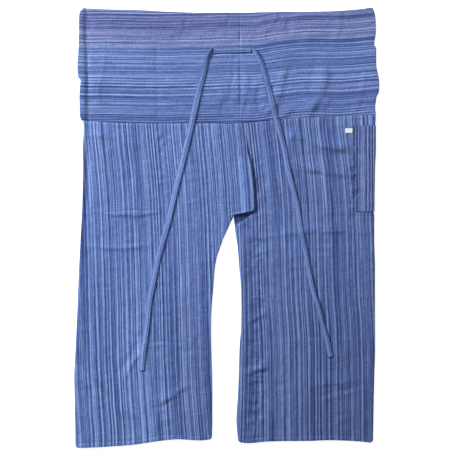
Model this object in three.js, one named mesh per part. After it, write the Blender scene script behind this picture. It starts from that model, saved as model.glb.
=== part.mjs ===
// Thai fisherman trousers laid flat with their back up. Millimetres: +Y runs to the waistband,
// +X to the right as seen from above, +Z up. The front layer rests on the surface at z = 0.
import * as THREE from 'three';

const CLOTH = 1.2;
const SEAM_GAP = 0.3;
const LAYER_SPACE = 0.8;
const FRONT_MIDDLE = CLOTH / 2;
const BACK_MIDDLE = CLOTH * 1.5 + LAYER_SPACE;
const STACK_STEP = CLOTH + SEAM_GAP;

// How the back layer swells towards a fold that isn't pressed.
const FOLD_SWELL = { height: 2.4, reach: 22 };
const FOLD_ANGLES = [60, 30, 0, -30, -60];
// Cloth length that an edge's roll takes up, and the distance over which the cloth comes down from it.
const EDGE_CURL = 2.85;
const EDGE_RAMP = 26;
// Distance from an edge over which a row bends to meet it.
const EDGE_BEND_REACH = 110;

// The seam runs straight between these points, and the pieces on both sides bend at them.
const BACK_SEAM = 29.3;
const WAIST_SEAM = [
  { x: -345, y: 242 }, { x: -245, y: 235.2 }, { x: -165, y: 233.8 }, { x: BACK_SEAM, y: 235.4 },
  { x: 101, y: 241.8 }, { x: 200, y: 248 }, { x: 345, y: 253.4 },
];
const WAIST_TOP = [
  { x: -322, y: 492.4 }, { x: -288, y: 490 }, { x: -198, y: 487.5 }, { x: -131, y: 483.8 },
  { x: -64, y: 481.9 }, { x: 26, y: 481.1 }, { x: 93, y: 483.1 }, { x: 228, y: 484.6 },
  { x: 295, y: 488.9 }, { x: 322, y: 492.6 },
];
const HEM_LEFT = [
  { x: -340, y: -492.6 }, { x: -264, y: -489.5 }, { x: -218, y: -486.4 }, { x: -131, y: -474.6 },
  { x: -107, y: -473 }, { x: -64, y: -475.4 }, { x: -33, y: -473.5 },
];
const HEM_RIGHT = [
  { x: 25, y: -475.4 }, { x: 48, y: -481.5 }, { x: 93, y: -478 }, { x: 183, y: -476.4 },
  { x: 230, y: -475 }, { x: 295, y: -477.8 }, { x: 328, y: -480.6 },
];

// Folded sides of the waistband, from the waist seam up to the top edge.
const BAND_SIDES = [
  { y: 240, left: -326, right: 333.6 }, { y: 250, left: -329, right: 334.3 },
  { y: 268, left: -330, right: 332.7 }, { y: 294, left: -330.4, right: 335.9 },
  { y: 304, left: -330, right: 340.6 }, { y: 318, left: -329, right: 341.8 },
  { y: 330, left: -328, right: 341.4 }, { y: 340, left: -333.8, right: 339.6 },
  { y: 366, left: -334.9, right: 335 }, { y: 402, left: -332.6, right: 334.6 },
  { y: 411, left: -332.5, right: 330.4 }, { y: 438, left: -331.6, right: 334 },
  { y: 465, left: -331.4, right: 333.4 }, { y: 482, left: -330.2, right: 330.8 },
  { y: 492.6, left: -321.6, right: 327.1 },
];
// Rows of the waistband from its top edge, 1, down to the waist seam, 0.
const BAND_LEVELS = [1, 0.965, 0.91, 0.8, 0.705, 0.67, 0.53, 0.43, 0.385, 0.33, 0.26, 0.2, 0.07, 0];

const SIDE_AT_SEAM = { left: -323, right: 333 };
const LEG_SIDES = [
  { y: 253, left: -325, right: 333.7 }, { y: 223, left: -321.2, right: 333.8 },
  { y: 178, left: -322.6, right: 333.8 }, { y: 133, left: -322.4, right: 332 },
  { y: 44, left: -324.6, right: 330.8 }, { y: -23, left: -328, right: 330.4 },
  { y: -91, left: -331.3, right: 332 }, { y: -180, left: -334.6, right: 332 },
  { y: -270, left: -339, right: 332.4 }, { y: -330, left: -341.8, right: 330.6 },
  { y: -404, left: -340.4, right: 328.9 }, { y: -492, left: -339.4, right: 327.6 },
];
// Inside-leg edges below the crotch and the centre front seam above it.
const LEG_INSIDES = [
  { y: 240, left: 15.1, right: 15.5 }, { y: 27, left: 15.1, right: 15.5 },
  { y: 12, left: 8.5, right: 17 }, { y: -2, left: 2.4, right: 18.3 },
  { y: -24, left: -7.7, right: 21.2 }, { y: -46, left: -15.6, right: 24.6 },
  { y: -68, left: -22.8, right: 26 }, { y: -91, left: -26.8, right: 27.6 },
  { y: -135, left: -30.2, right: 31.2 }, { y: -180, left: -33.9, right: 32 },
  { y: -225, left: -35.2, right: 31.4 }, { y: -270, left: -34.5, right: 28.2 },
  { y: -360, left: -32.2, right: 25.4 }, { y: -404, left: -32.5, right: 22.7 },
  { y: -430, left: -32.4, right: 21.2 }, { y: -478, left: -33.3, right: 25 },
];

// Back edge of each leg by row. at: the row's height at the side fold. x, y, z: the edge itself, z at
// the middle of the cloth. turn: degrees that the edge is rolled under. tail: length past the roll.
const LEFT_BACK_EDGE = [
  { at: 241, x: 43.9, y: 235, z: 4, turn: 180, tail: 2 },
  { at: 217, x: 44.4, y: 213, z: 5.4, turn: 180, tail: 2 },
  { at: 200, x: 45, y: 199, z: 5.9, turn: 180, tail: 2 },
  { at: 170, x: 47.5, y: 170, z: 5.9, turn: 180, tail: 4 },
  { at: 130, x: 56, y: 130, z: 5.9, turn: 180, tail: 10 },
  { at: 84, x: 61, y: 84, z: 5.9, turn: 180, tail: 12 },
  { at: 51, x: 62, y: 52, z: 5.9, turn: 180, tail: 12 },
  { at: 38, x: 60.3, y: 39.6, z: 5.9, turn: 180, tail: 10 },
  { at: 30, x: 38, y: 33.6, z: 5.4, turn: 180, tail: 6 },
  { at: 22, x: 26, y: 30.8, z: 4.8, turn: 180, tail: 3 },
  { at: 14, x: 15.1, y: 26.6, z: 4, turn: 180, tail: 2 },
  { at: 2, x: 7, y: 10, z: 4, turn: 180, tail: 2 },
  { at: -12, x: -3, y: -14, z: 4, turn: 180, tail: 2 },
];
const RIGHT_BACK_EDGE = [
  { at: 253, x: 44.3, y: 235.2, z: 2.6, turn: 3, tail: 2 },
  { at: 241, x: 44.6, y: 224, z: 2.6, turn: 3, tail: 2 },
  { at: 229, x: 45, y: 213, z: 2.6, turn: 3, tail: 2 },
  { at: 205, x: 45.4, y: 199, z: 2.6, turn: 3, tail: 2 },
  { at: 170, x: 41, y: 168, z: 2.6, turn: 3, tail: 2 },
  { at: 130, x: 43, y: 130, z: 2.6, turn: 3, tail: 2 },
  { at: 84, x: 46, y: 84, z: 2.6, turn: 3, tail: 2 },
  { at: 52, x: 54, y: 53, z: 2.6, turn: 3, tail: 2 },
  { at: 37, x: 59.7, y: 38.6, z: 2.6, turn: 3, tail: 2 },
  { at: 25, x: 47.1, y: 23.8, z: 3.9, turn: 75, tail: 0.5 },
  { at: 14, x: 33, y: 13, z: 4, turn: 180, tail: 2 },
  { at: 4, x: 22.5, y: 4.5, z: 4, turn: 180, tail: 2 },
  { at: -10, x: 20, y: -11, z: 4, turn: 180, tail: 2 },
];
// Inside-leg edge below those rows, and the rows' heights at the side fold.
const INSIDE_EDGE = { z: 4, turn: 180, tail: 2 };
const ROW_OVER_HEM = 8;
const LEG_ROWS_BELOW = [-28, -50, -75, -105, -140, -180, -222, -262, -300, -335, -370, -404, -432, -458];

// Largest creases of the back layer. turn: degrees from +X. height: above the flat cloth.
const CREASES = [
  { x: -235, y: 32, length: 170, width: 13, turn: 2, height: 1.5 },
  { x: -240, y: -42, length: 150, width: 13, turn: -1, height: 1.3 },
  { x: -262, y: 198, length: 110, width: 14, turn: -12, height: 1.2 },
  { x: 205, y: 188, length: 130, width: 15, turn: -12, height: 2.4 },
  { x: 212, y: 128, length: 130, width: 14, turn: -14, height: 1.8 },
  { x: 190, y: -12, length: 220, width: 14, turn: 3, height: 1.5 },
  { x: 112, y: 300, length: 110, width: 15, turn: 52, height: 2.2 },
  { x: 190, y: 285, length: 120, width: 14, turn: 30, height: 1.6 },
  { x: -266, y: -372, length: 150, width: 17, turn: -42, height: 2.2 },
  { x: -120, y: -372, length: 70, width: 13, turn: 22, height: 1.4 },
  { x: 62, y: -200, length: 70, width: 13, turn: 8, height: 1.5 },
  { x: 62, y: -320, length: 70, width: 13, turn: 5, height: 1.5 },
  { x: 235, y: -350, length: 110, width: 13, turn: 10, height: 1.4 },
];

const POCKET = { left: 282.3, frontEdge: 228, top: 228.8, bottom: 36.8, legClear: 3, ramp: 13 };
const LABEL = { left: 265.4, right: 282, bottom: 211.8, top: 222.8, thickness: 1, columns: 4, foldX: 328 };
const BRIDGE = { left: -28.2, right: 54, bottom: 391.8, top: 403, thickness: 1.5, columns: 6 };
const TIE = { width: 13, thickness: 2, corner: 0.6, steps: 36 };
const LEFT_TIE_ROUTE = [
  { x: -34.9, y: 403.2, z: 4.7 }, { x: -39.5, y: 385, z: 4.7 }, { x: -48.7, y: 353.9, z: 4.7 },
  { x: -61, y: 302.2, z: 4.7 }, { x: -75.6, y: 241.7, z: 4.7 }, { x: -91.3, y: 179, z: 4.7 },
  { x: -109.2, y: 107.3, z: 4.7 }, { x: -119.5, y: 62.5, z: 4.7 }, { x: -129.4, y: 20, z: 4.7 },
  { x: -137.4, y: -9.2, z: 4.7 }, { x: -144.8, y: -37.4, z: 4.7 }, { x: -153, y: -66, z: 4.7 },
  { x: -159.2, y: -94.7, z: 4.7 }, { x: -165.2, y: -123.4, z: 4.7 }, { x: -170.6, y: -151.8, z: 4.7 },
  { x: -174.4, y: -177.1, z: 4.7 }, { x: -176.7, y: -203.4, z: 4.7 }, { x: -179.6, y: -229, z: 4.7 },
  { x: -183.2, y: -254.7, z: 4.7 }, { x: -186.8, y: -280, z: 4.7 }, { x: -189.8, y: -319, z: 4.7 },
];
const RIGHT_TIE_ROUTE = [
  { x: 60.6, y: 403.2, z: 4.7 }, { x: 69, y: 385, z: 4.7 }, { x: 80.5, y: 360.4, z: 4.7 },
  { x: 92.4, y: 315.6, z: 6.2 }, { x: 98.6, y: 290, z: 6.9 }, { x: 103.6, y: 270, z: 6.2 },
  { x: 108, y: 252.9, z: 5.2 }, { x: 127.5, y: 181.2, z: 5.4 },
  { x: 134.5, y: 138.7, z: 5.2 }, { x: 147.3, y: 89.4, z: 4.7 }, { x: 156.8, y: 53.6, z: 4.7 },
  { x: 161.4, y: 20, z: 4.9 }, { x: 166.5, y: -9.2, z: 6.2 }, { x: 174.5, y: -45, z: 4.9 },
  { x: 180.8, y: -80.8, z: 4.7 }, { x: 188.7, y: -123.4, z: 4.7 }, { x: 196.3, y: -152.5, z: 4.7 },
  { x: 202.8, y: -170.4, z: 4.7 }, { x: 211.1, y: -203, z: 4.7 }, { x: 218.3, y: -230, z: 4.7 },
  { x: 226.1, y: -257.2, z: 4.7 }, { x: 232.5, y: -288.5, z: 4.7 },
];

const COLOURS = {
  leg: 0x5b6fa8, band: 0x646b9c, tie: 0x6c82bd, pocket: 0x4f5f92, label: 0xf2f2ee,
};

function blend(a, b, t) {
  return a + (b - a) * t;
}

function ease(t) {
  const clamped = Math.min(Math.max(t, 0), 1);
  return clamped * clamped * (3 - 2 * clamped);
}

// Smooth curve through one column of a table, read at a value of its key column.
function read(table, key, column, at) {
  const rising = table[0][key] < table[table.length - 1][key];
  const rows = rising ? table : [...table].reverse();
  const last = rows.length - 1;
  const spot = Math.min(Math.max(at, rows[0][key]), rows[last][key]);
  let i = 0;
  while (i < last - 1 && rows[i + 1][key] < spot) {
    i += 1;
  }
  const rise = (k) => (rows[k + 1][column] - rows[k][column]) / (rows[k + 1][key] - rows[k][key]);
  const slope = (k) => {
    const before = rise(Math.max(k - 1, 0));
    const after = rise(Math.min(k, last - 1));
    return before * after > 0 ? (2 * before * after) / (before + after) : 0;
  };
  const width = rows[i + 1][key] - rows[i][key];
  const t = (spot - rows[i][key]) / width;
  const start = rows[i][column];
  const end = rows[i + 1][column];
  const bend = (1 - t) * (slope(i) * width - (end - start)) - t * (slope(i + 1) * width - (end - start));
  return blend(start, end, t) + t * (1 - t) * bend;
}

function seamY(x) {
  const after = WAIST_SEAM.findIndex((point) => point.x >= x);
  const [from, to] = [WAIST_SEAM[after - 1], WAIST_SEAM[after]];
  return blend(from.y, to.y, (x - from.x) / (to.x - from.x));
}

// Moves the nearest inner column to each bend of the waist seam.
function snapToSeam(columns) {
  const snapped = [...columns];
  const [low, high] = [Math.min(...columns), Math.max(...columns)];
  for (const { x } of WAIST_SEAM.filter((point) => point.x > low + 1 && point.x < high - 1)) {
    let nearest = 1;
    for (let i = 1; i < columns.length - 1; i += 1) {
      nearest = Math.abs(columns[i] - x) < Math.abs(columns[nearest] - x) ? i : nearest;
    }
    snapped[nearest] = x;
  }
  return snapped;
}

const topY = (x) => read(WAIST_TOP, 'x', 'y', x);

function creaseHeight(x, y) {
  let height = 0;
  for (const crease of CREASES) {
    const turn = THREE.MathUtils.degToRad(crease.turn);
    const dx = x - crease.x;
    const dy = y - crease.y;
    const along = (dx * Math.cos(turn) + dy * Math.sin(turn)) / (crease.length / 2);
    const across = (dy * Math.cos(turn) - dx * Math.sin(turn)) / crease.width;
    height += crease.height * Math.exp(-across * across - along ** 4);
  }
  return height;
}

// 1 where the pocket lies under the leg's front layer, easing to 0 outside it.
function pocketLift(x, y) {
  const inX = ease((x - POCKET.frontEdge + POCKET.legClear + POCKET.ramp) / POCKET.ramp);
  const inY = Math.min(
    ease((POCKET.top + POCKET.ramp - y) / POCKET.ramp),
    ease((y - POCKET.bottom + POCKET.ramp) / POCKET.ramp),
  );
  return inX * inY;
}

// Height of the middle of the back layer, and of the front layer, over the surface.
function backHeight(x, y, sideDistance) {
  const swell = FOLD_SWELL.height * Math.exp(-((sideDistance / FOLD_SWELL.reach) ** 2));
  return BACK_MIDDLE + swell + creaseHeight(x, y) + pocketLift(x, y) * STACK_STEP;
}

function frontHeight(x, y) {
  return FRONT_MIDDLE + pocketLift(x, y) * STACK_STEP;
}

// Closed wall of one cloth thickness about rows of middle points. Along a row the cloth runs to
// the right on top and to the left underneath; the rows follow each other from the waist down.
function clothWall(rows, thickness) {
  const rowCount = rows.length;
  const columnCount = rows[0].length;
  const positions = [];
  for (const side of [0.5, -0.5]) {
    for (const row of rows) {
      row.forEach(([x, y, z], i) => {
        const before = row[Math.max(i - 1, 0)];
        const after = row[Math.min(i + 1, columnCount - 1)];
        const run = Math.hypot(after[0] - before[0], after[2] - before[2]);
        const out = (side * thickness) / run;
        positions.push(x - (after[2] - before[2]) * out, y, z + (after[0] - before[0]) * out);
      });
    }
  }
  const outer = (j, i) => j * columnCount + i;
  const inner = (j, i) => (rowCount + j) * columnCount + i;
  const indices = [];
  const quad = (a, b, c, d) => indices.push(a, b, c, b, d, c);
  for (let j = 0; j < rowCount - 1; j += 1) {
    for (let i = 0; i < columnCount - 1; i += 1) {
      quad(outer(j, i), outer(j + 1, i), outer(j, i + 1), outer(j + 1, i + 1));
      quad(inner(j, i), inner(j, i + 1), inner(j + 1, i), inner(j + 1, i + 1));
    }
  }
  const lastRow = rowCount - 1;
  const lastColumn = columnCount - 1;
  for (let i = 0; i < lastColumn; i += 1) {
    quad(outer(0, i), outer(0, i + 1), inner(0, i), inner(0, i + 1));
    quad(outer(lastRow, i), inner(lastRow, i), outer(lastRow, i + 1), inner(lastRow, i + 1));
  }
  for (let j = 0; j < lastRow; j += 1) {
    quad(outer(j, 0), inner(j, 0), outer(j + 1, 0), inner(j + 1, 0));
    quad(outer(j, lastColumn), outer(j + 1, lastColumn), inner(j, lastColumn), inner(j + 1, lastColumn));
  }
  const geometry = new THREE.BufferGeometry();
  geometry.setAttribute('position', new THREE.Float32BufferAttribute(positions, 3));
  geometry.setIndex(indices);
  geometry.computeVertexNormals();
  return geometry;
}

// Middle points of a fold at a side, from the back layer round to the front layer.
function foldPoints(outX, sideX, y, backZ, frontZ) {
  const radius = (backZ - frontZ) / 2;
  const centreX = sideX - outX * (CLOTH / 2 + radius);
  return FOLD_ANGLES.map((angle) => {
    const turn = THREE.MathUtils.degToRad(angle);
    return [centreX + outX * radius * Math.cos(turn), y, frontZ + radius + radius * Math.sin(turn)];
  });
}

// Shares of a roll at which it has points.
const ROLL_PARTS = [1, 0.75, 0.5, 0.25];

// Rolled-under edge: distances inward from the edge and drops below the cloth, from the tail up.
function edgeRoll(edge) {
  const turn = THREE.MathUtils.degToRad(edge.turn);
  const radius = EDGE_CURL / turn;
  const roll = ROLL_PARTS.map((part) => ({
    across: -radius * Math.sin(turn * part),
    drop: radius * (1 - Math.cos(turn * part)),
  }));
  const end = roll[0];
  const tail = {
    across: end.across - edge.tail * Math.cos(turn),
    drop: end.drop + edge.tail * Math.sin(turn),
  };
  const points = [tail, ...roll];
  const reach = Math.max(...points.map((point) => -point.across), 0) + (CLOTH / 2) * Math.sin(turn / 2);
  return { points, reach };
}

function legRowY(leg, row) {
  const seam = seamY(SIDE_AT_SEAM[leg.name]);
  const hem = leg.hemY(leg.sideAtHem);
  const down = Math.max((seam - row) / (seam - hem), 0);
  return (x) => blend(seamY(x), leg.hemY(x), down);
}

// Edge of the back layer below the table's rows: the inside leg, rolled under over the front layer.
function insideLegEdge(leg, row) {
  const rowY = legRowY(leg, row);
  const x = read(LEG_INSIDES, 'y', leg.name, rowY(0));
  return { at: row, x, y: rowY(x), ...INSIDE_EDGE };
}

// Columns of a leg: distances from the rolled edge and the side fold on top, and from the fold underneath.
const TOP_FROM_EDGE = [5, 11, 18, 28, 40];
const TOP_FROM_SIDE = [36, 22, 11];
const TOP_MIDDLE_STEPS = 9;
const FRONT_FROM_SIDE = [50, 104, 122];
const FRONT_INNER_STEPS = 5;

function legRow(leg, edge) {
  const { out } = leg;
  const rowY = legRowY(leg, edge.at);
  const roll = edgeRoll(edge);
  const sideY = rowY(SIDE_AT_SEAM[leg.name]);
  const inset = out > 0 ? pocketLift(SIDE_AT_SEAM.right, sideY) * STACK_STEP : 0;
  const sideX = read(LEG_SIDES, 'y', leg.name, sideY) - out * inset;
  const backZAtSide = backHeight(sideX, sideY, 0);
  const frontZAtSide = frontHeight(sideX, sideY);
  const foldX = sideX - out * (CLOTH / 2 + (backZAtSide - frontZAtSide) / 2);
  const edgeLift = edge.y - rowY(edge.x);
  const bentY = (x) => rowY(x) + edgeLift * ease(1 - (Math.abs(x - edge.x) - roll.reach) / EDGE_BEND_REACH);

  const startX = edge.x + out * roll.reach;
  const points = roll.points.map(({ across, drop }) => [startX + out * across, edge.y, edge.z - drop]);
  const flatSpan = Math.abs(foldX - startX);
  const middleStart = TOP_FROM_EDGE[TOP_FROM_EDGE.length - 1];
  const middleSpan = flatSpan - middleStart - TOP_FROM_SIDE[0];
  const distances = [0, ...TOP_FROM_EDGE];
  for (let k = 1; k < TOP_MIDDLE_STEPS; k += 1) {
    distances.push(middleStart + (middleSpan * k) / TOP_MIDDLE_STEPS);
  }
  distances.push(...TOP_FROM_SIDE.map((d) => flatSpan - d), flatSpan);
  for (const x of snapToSeam(distances.map((distance) => startX + out * distance))) {
    const y = bentY(x);
    const distance = Math.abs(x - startX);
    const plain = backHeight(x, y, flatSpan - distance);
    const raised = 1 - ease((distance - edge.tail - 1) / EDGE_RAMP);
    points.push([x, y, blend(plain, edge.z, raised)]);
  }
  points.push(...foldPoints(out, sideX, sideY, backZAtSide, frontZAtSide));
  const frontEdge = read(LEG_INSIDES, 'y', leg.name, rowY(0));
  const frontSpan = Math.abs(foldX - frontEdge);
  const frontStart = FRONT_FROM_SIDE[FRONT_FROM_SIDE.length - 1];
  const frontDistances = [0, ...FRONT_FROM_SIDE];
  for (let k = 1; k <= FRONT_INNER_STEPS; k += 1) {
    frontDistances.push(blend(frontStart, frontSpan, k / FRONT_INNER_STEPS));
  }
  for (const x of snapToSeam(frontDistances.map((distance) => foldX - out * distance))) {
    points.push([x, rowY(x), frontHeight(x, rowY(x))]);
  }
  return out > 0 ? points : points.reverse();
}

const LEFT_LEG = { name: 'left', out: -1, sideAtHem: -339, hemY: (x) => read(HEM_LEFT, 'x', 'y', x) };
const RIGHT_LEG = { name: 'right', out: 1, sideAtHem: 328, hemY: (x) => read(HEM_RIGHT, 'x', 'y', x) };

function makeLeg(leg, backEdge) {
  const hem = leg.hemY(leg.sideAtHem);
  const below = [...LEG_ROWS_BELOW, hem + ROW_OVER_HEM, hem].map((row) => insideLegEdge(leg, row));
  return clothWall([...backEdge, ...below].map((edge) => legRow(leg, edge)), CLOTH);
}

// Columns of the waistband: distances from the side fold, and the steps between.
const BAND_FROM_SIDE = [0, 11, 22, 36];
const BAND_TOP_STEPS = 8;
const BAND_FRONT_STEPS = 8;

// One side of the waistband's back layer, from the centre back seam out to the fold.
function bandBackPoints(out, rowY, foldX) {
  const seamX = BACK_SEAM + (out * SEAM_GAP) / 2;
  const span = Math.abs(foldX - seamX);
  const innerSpan = span - BAND_FROM_SIDE[BAND_FROM_SIDE.length - 1];
  const distances = [];
  for (let k = 0; k < BAND_TOP_STEPS; k += 1) {
    distances.push((innerSpan * k) / BAND_TOP_STEPS);
  }
  distances.push(...[...BAND_FROM_SIDE].reverse().map((d) => span - d));
  return snapToSeam(distances.map((distance) => seamX + out * distance)).map((x) => {
    const y = rowY(x);
    return [x, y, backHeight(x, y, Math.abs(foldX - x))];
  });
}

function bandRow(level) {
  const rowY = (x) => blend(seamY(x) + SEAM_GAP, topY(x), level);
  const sides = [1, -1].map((out) => {
    const name = out > 0 ? 'right' : 'left';
    const sideY = rowY(SIDE_AT_SEAM[name]);
    const sideX = read(BAND_SIDES, 'y', name, sideY);
    const backZ = backHeight(sideX, sideY, 0);
    const foldX = sideX - out * (CLOTH / 2 + (backZ - FRONT_MIDDLE) / 2);
    return { out, foldX, fold: foldPoints(out, sideX, sideY, backZ, FRONT_MIDDLE) };
  });
  const [right, left] = sides;
  const frontColumns = [];
  for (let k = 0; k <= BAND_FRONT_STEPS; k += 1) {
    frontColumns.push(blend(right.foldX, left.foldX, k / BAND_FRONT_STEPS));
  }
  const front = snapToSeam(frontColumns).map((x) => [x, rowY(x), FRONT_MIDDLE]);
  return [
    ...bandBackPoints(1, rowY, right.foldX), ...right.fold, ...front,
    ...left.fold.reverse(), ...bandBackPoints(-1, rowY, left.foldX).reverse(),
  ];
}

function makeWaistband() {
  return clothWall(BAND_LEVELS.map(bandRow), CLOTH);
}

const POCKET_ROWS = [POCKET.top, 205, 170, 130, 84, 52, POCKET.bottom];
// Columns of the pocket as shares of its width from the fold.
const POCKET_BACK_PARTS = [1, 0.7, 0.4, 0.2, 0];
const POCKET_FRONT_PARTS = [0, 0.33, 0.66, 1];

// Patch pocket: the leg's points at the right side fold, moved out by one layer.
function makePocket() {
  const rows = POCKET_ROWS.map((row) => {
    const rowY = legRowY(RIGHT_LEG, row);
    const sideY = rowY(SIDE_AT_SEAM.right);
    const sideX = read(LEG_SIDES, 'y', 'right', sideY);
    const backZ = backHeight(sideX, sideY, 0) + STACK_STEP;
    const foldX = sideX - CLOTH / 2 - (backZ - FRONT_MIDDLE) / 2;
    const top = POCKET_BACK_PARTS.map((part) => {
      const x = blend(foldX, POCKET.left, part);
      return [x, rowY(x), backHeight(x, rowY(x), foldX - x) + STACK_STEP];
    });
    const bottom = POCKET_FRONT_PARTS.map((part) => {
      const x = blend(foldX, POCKET.frontEdge, part);
      return [x, rowY(x), FRONT_MIDDLE];
    });
    return [...top, ...foldPoints(1, sideX, sideY, backZ, FRONT_MIDDLE), ...bottom];
  });
  return clothWall(rows, CLOTH);
}

// Flat strip on the back layer, moved out by a gap and half of its own thickness.
function makePatch(patch, sideDistance) {
  const lift = CLOTH / 2 + SEAM_GAP + patch.thickness / 2;
  const rows = [patch.top, blend(patch.top, patch.bottom, 0.5), patch.bottom].map((y) => {
    const row = [];
    for (let i = 0; i < patch.columns; i += 1) {
      const x = blend(patch.left, patch.right, i / (patch.columns - 1));
      row.push([x, y, backHeight(x, y, sideDistance(x)) + lift]);
    }
    return row;
  });
  return clothWall(rows, patch.thickness);
}

function makeTie(route) {
  const halfWidth = TIE.width / 2;
  const halfThickness = TIE.thickness / 2;
  const { corner } = TIE;
  const section = new THREE.Shape([
    new THREE.Vector2(halfThickness, -halfWidth + corner),
    new THREE.Vector2(halfThickness, halfWidth - corner),
    new THREE.Vector2(halfThickness - corner, halfWidth),
    new THREE.Vector2(-halfThickness + corner, halfWidth),
    new THREE.Vector2(-halfThickness, halfWidth - corner),
    new THREE.Vector2(-halfThickness, -halfWidth + corner),
    new THREE.Vector2(-halfThickness + corner, -halfWidth),
    new THREE.Vector2(halfThickness - corner, -halfWidth),
  ]);
  const path = new THREE.CatmullRomCurve3(route.map(({ x, y, z }) => new THREE.Vector3(x, y, z)));
  return new THREE.ExtrudeGeometry(section, { steps: TIE.steps, extrudePath: path, bevelEnabled: false });
}

const group = new THREE.Group();

function addPiece(name, geometry, color) {
  const material = new THREE.MeshStandardMaterial({ color, roughness: 0.9, metalness: 0 });
  const mesh = new THREE.Mesh(geometry, material);
  mesh.name = name;
  group.add(mesh);
}

const FAR_FROM_FOLD = 1000;

addPiece('leg_left', makeLeg(LEFT_LEG, LEFT_BACK_EDGE), COLOURS.leg);
addPiece('leg_right', makeLeg(RIGHT_LEG, RIGHT_BACK_EDGE), COLOURS.leg);
addPiece('waistband', makeWaistband(), COLOURS.band);
addPiece('pocket', makePocket(), COLOURS.pocket);
addPiece('label', makePatch(LABEL, (x) => LABEL.foldX - x), COLOURS.label);
addPiece('tie_bridge', makePatch(BRIDGE, () => FAR_FROM_FOLD), COLOURS.tie);
addPiece('tie_left', makeTie(LEFT_TIE_ROUTE), COLOURS.tie);
addPiece('tie_right', makeTie(RIGHT_TIE_ROUTE), COLOURS.tie);

export default group;
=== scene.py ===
import bpy
import numpy as np
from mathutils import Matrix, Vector


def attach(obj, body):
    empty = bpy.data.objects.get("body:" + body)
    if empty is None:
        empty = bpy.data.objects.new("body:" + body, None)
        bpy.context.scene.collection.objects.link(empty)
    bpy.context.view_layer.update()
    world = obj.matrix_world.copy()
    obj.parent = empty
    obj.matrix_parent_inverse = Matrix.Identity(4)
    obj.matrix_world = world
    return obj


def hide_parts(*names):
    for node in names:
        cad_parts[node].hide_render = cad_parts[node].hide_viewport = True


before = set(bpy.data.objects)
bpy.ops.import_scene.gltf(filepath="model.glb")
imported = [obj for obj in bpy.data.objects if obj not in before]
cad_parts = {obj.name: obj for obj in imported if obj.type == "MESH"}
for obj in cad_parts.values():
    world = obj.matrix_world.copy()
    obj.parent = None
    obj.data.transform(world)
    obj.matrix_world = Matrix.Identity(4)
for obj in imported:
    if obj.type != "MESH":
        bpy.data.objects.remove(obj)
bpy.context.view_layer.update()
mm = 0.001

# Measures shared by all pieces.

cloth = {
    "thickness": 1.2,
    "seamGap": 0.1,
    "backSeamGap": 0.04,
    "stackStep": 1.5,
    "frontMiddle": 0.6,
    "backMiddle": 2.6,
    "foldHeight": 2.4,
    "foldReach": 22,
    "edgeCurl": 2.85,
    "edgeRamp": 18,
    "backSeam": 29.3,
    "loft": 1.2,
    "lowest": 1.95,
    "lowestBlend": 0.12,
    "loftReach": 30,
}

outline = {
    "waistSeam": [(-345, 242), (-245, 235.2), (-165, 233.8), (29.3, 235.4), (101, 241.8), (200, 248),
                  (345, 253.4)],
    "waistTop": [(-322, 492.4), (-288, 490), (-198, 487.5), (-131, 483.8), (-64, 481.9), (26, 481.1),
                 (93, 483.1), (228, 484.6), (295, 488.9), (322, 492.6)],
    # edge of the waistband's wide turned hem
    "turnedHem": [(-345, 409), (-248, 408.4), (-157, 406.8), (-89, 407.9), (-42, 409), (30, 411.2),
                  (60, 411.3), (110, 418.2), (156, 423.8), (190, 425.6), (248, 424.9), (294, 428),
                  (345, 432.5)],
    # crease that runs down beside the left fold
    "leftCrease": [(492, -314), (376, -312), (242, -311), (174, -310), (85, -313), (36, -315),
                   (-25, -320), (-139, -321.3), (-206, -318.7), (-273, -317.1), (-334, -314.6),
                   (-385, -310), (-444, -308.6)],
}


def ease(t):
    # smoothstep: 3 t squared less 2 t cubed, between 0 and 1
    t = np.clip(t, 0, 1)
    return t * t * (3 - 2 * t)


def mix(a, b, t):
    return a + (b - a) * t


def readTable(table, at):
    # cubic through the pairs; its slopes are harmonic means, so that it never overshoots
    keys, values = np.array(sorted(table), float).T
    rise = np.diff(values) / np.diff(keys)
    before = np.concatenate([rise[:1], rise])
    after = np.concatenate([rise, rise[-1:]])
    same = before * after > 0
    slope = np.where(same, 2 * before * after / np.where(same, before + after, 1), 0)
    spot = np.clip(at, keys[0], keys[-1])
    i = np.clip(np.searchsorted(keys, spot) - 1, 0, len(keys) - 2)
    width = keys[i + 1] - keys[i]
    t = (spot - keys[i]) / width
    step = values[i + 1] - values[i]
    bend = (1 - t) * (slope[i] * width - step) - t * (slope[i + 1] * width - step)
    return mix(values[i], values[i + 1], t) + t * (1 - t) * bend


def seamHeight(x):
    return np.interp(x, *np.array(outline["waistSeam"], float).T)


def roughness(x, y, cellX, cellY, seed):
    # value noise: random heights from -1 to 1 on a lattice, joined by smoothstep; shift keeps places positive
    size, shift = 64, 1000
    lattice = np.random.default_rng(seed).uniform(-1, 1, (size, size))
    gridX, gridY = x / cellX + shift, y / cellY + shift
    i, j = np.floor(gridX).astype(int), np.floor(gridY).astype(int)
    tx, ty = ease(gridX - i), ease(gridY - j)
    i, j, nextI, nextJ = i % size, j % size, (i + 1) % size, (j + 1) % size
    low = mix(lattice[i, j], lattice[nextI, j], tx)
    high = mix(lattice[i, nextJ], lattice[nextI, nextJ], tx)
    return mix(low, high, ty)


# Creases of the back layer: middle x and y, length, width, turn in degrees, height.

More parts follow.
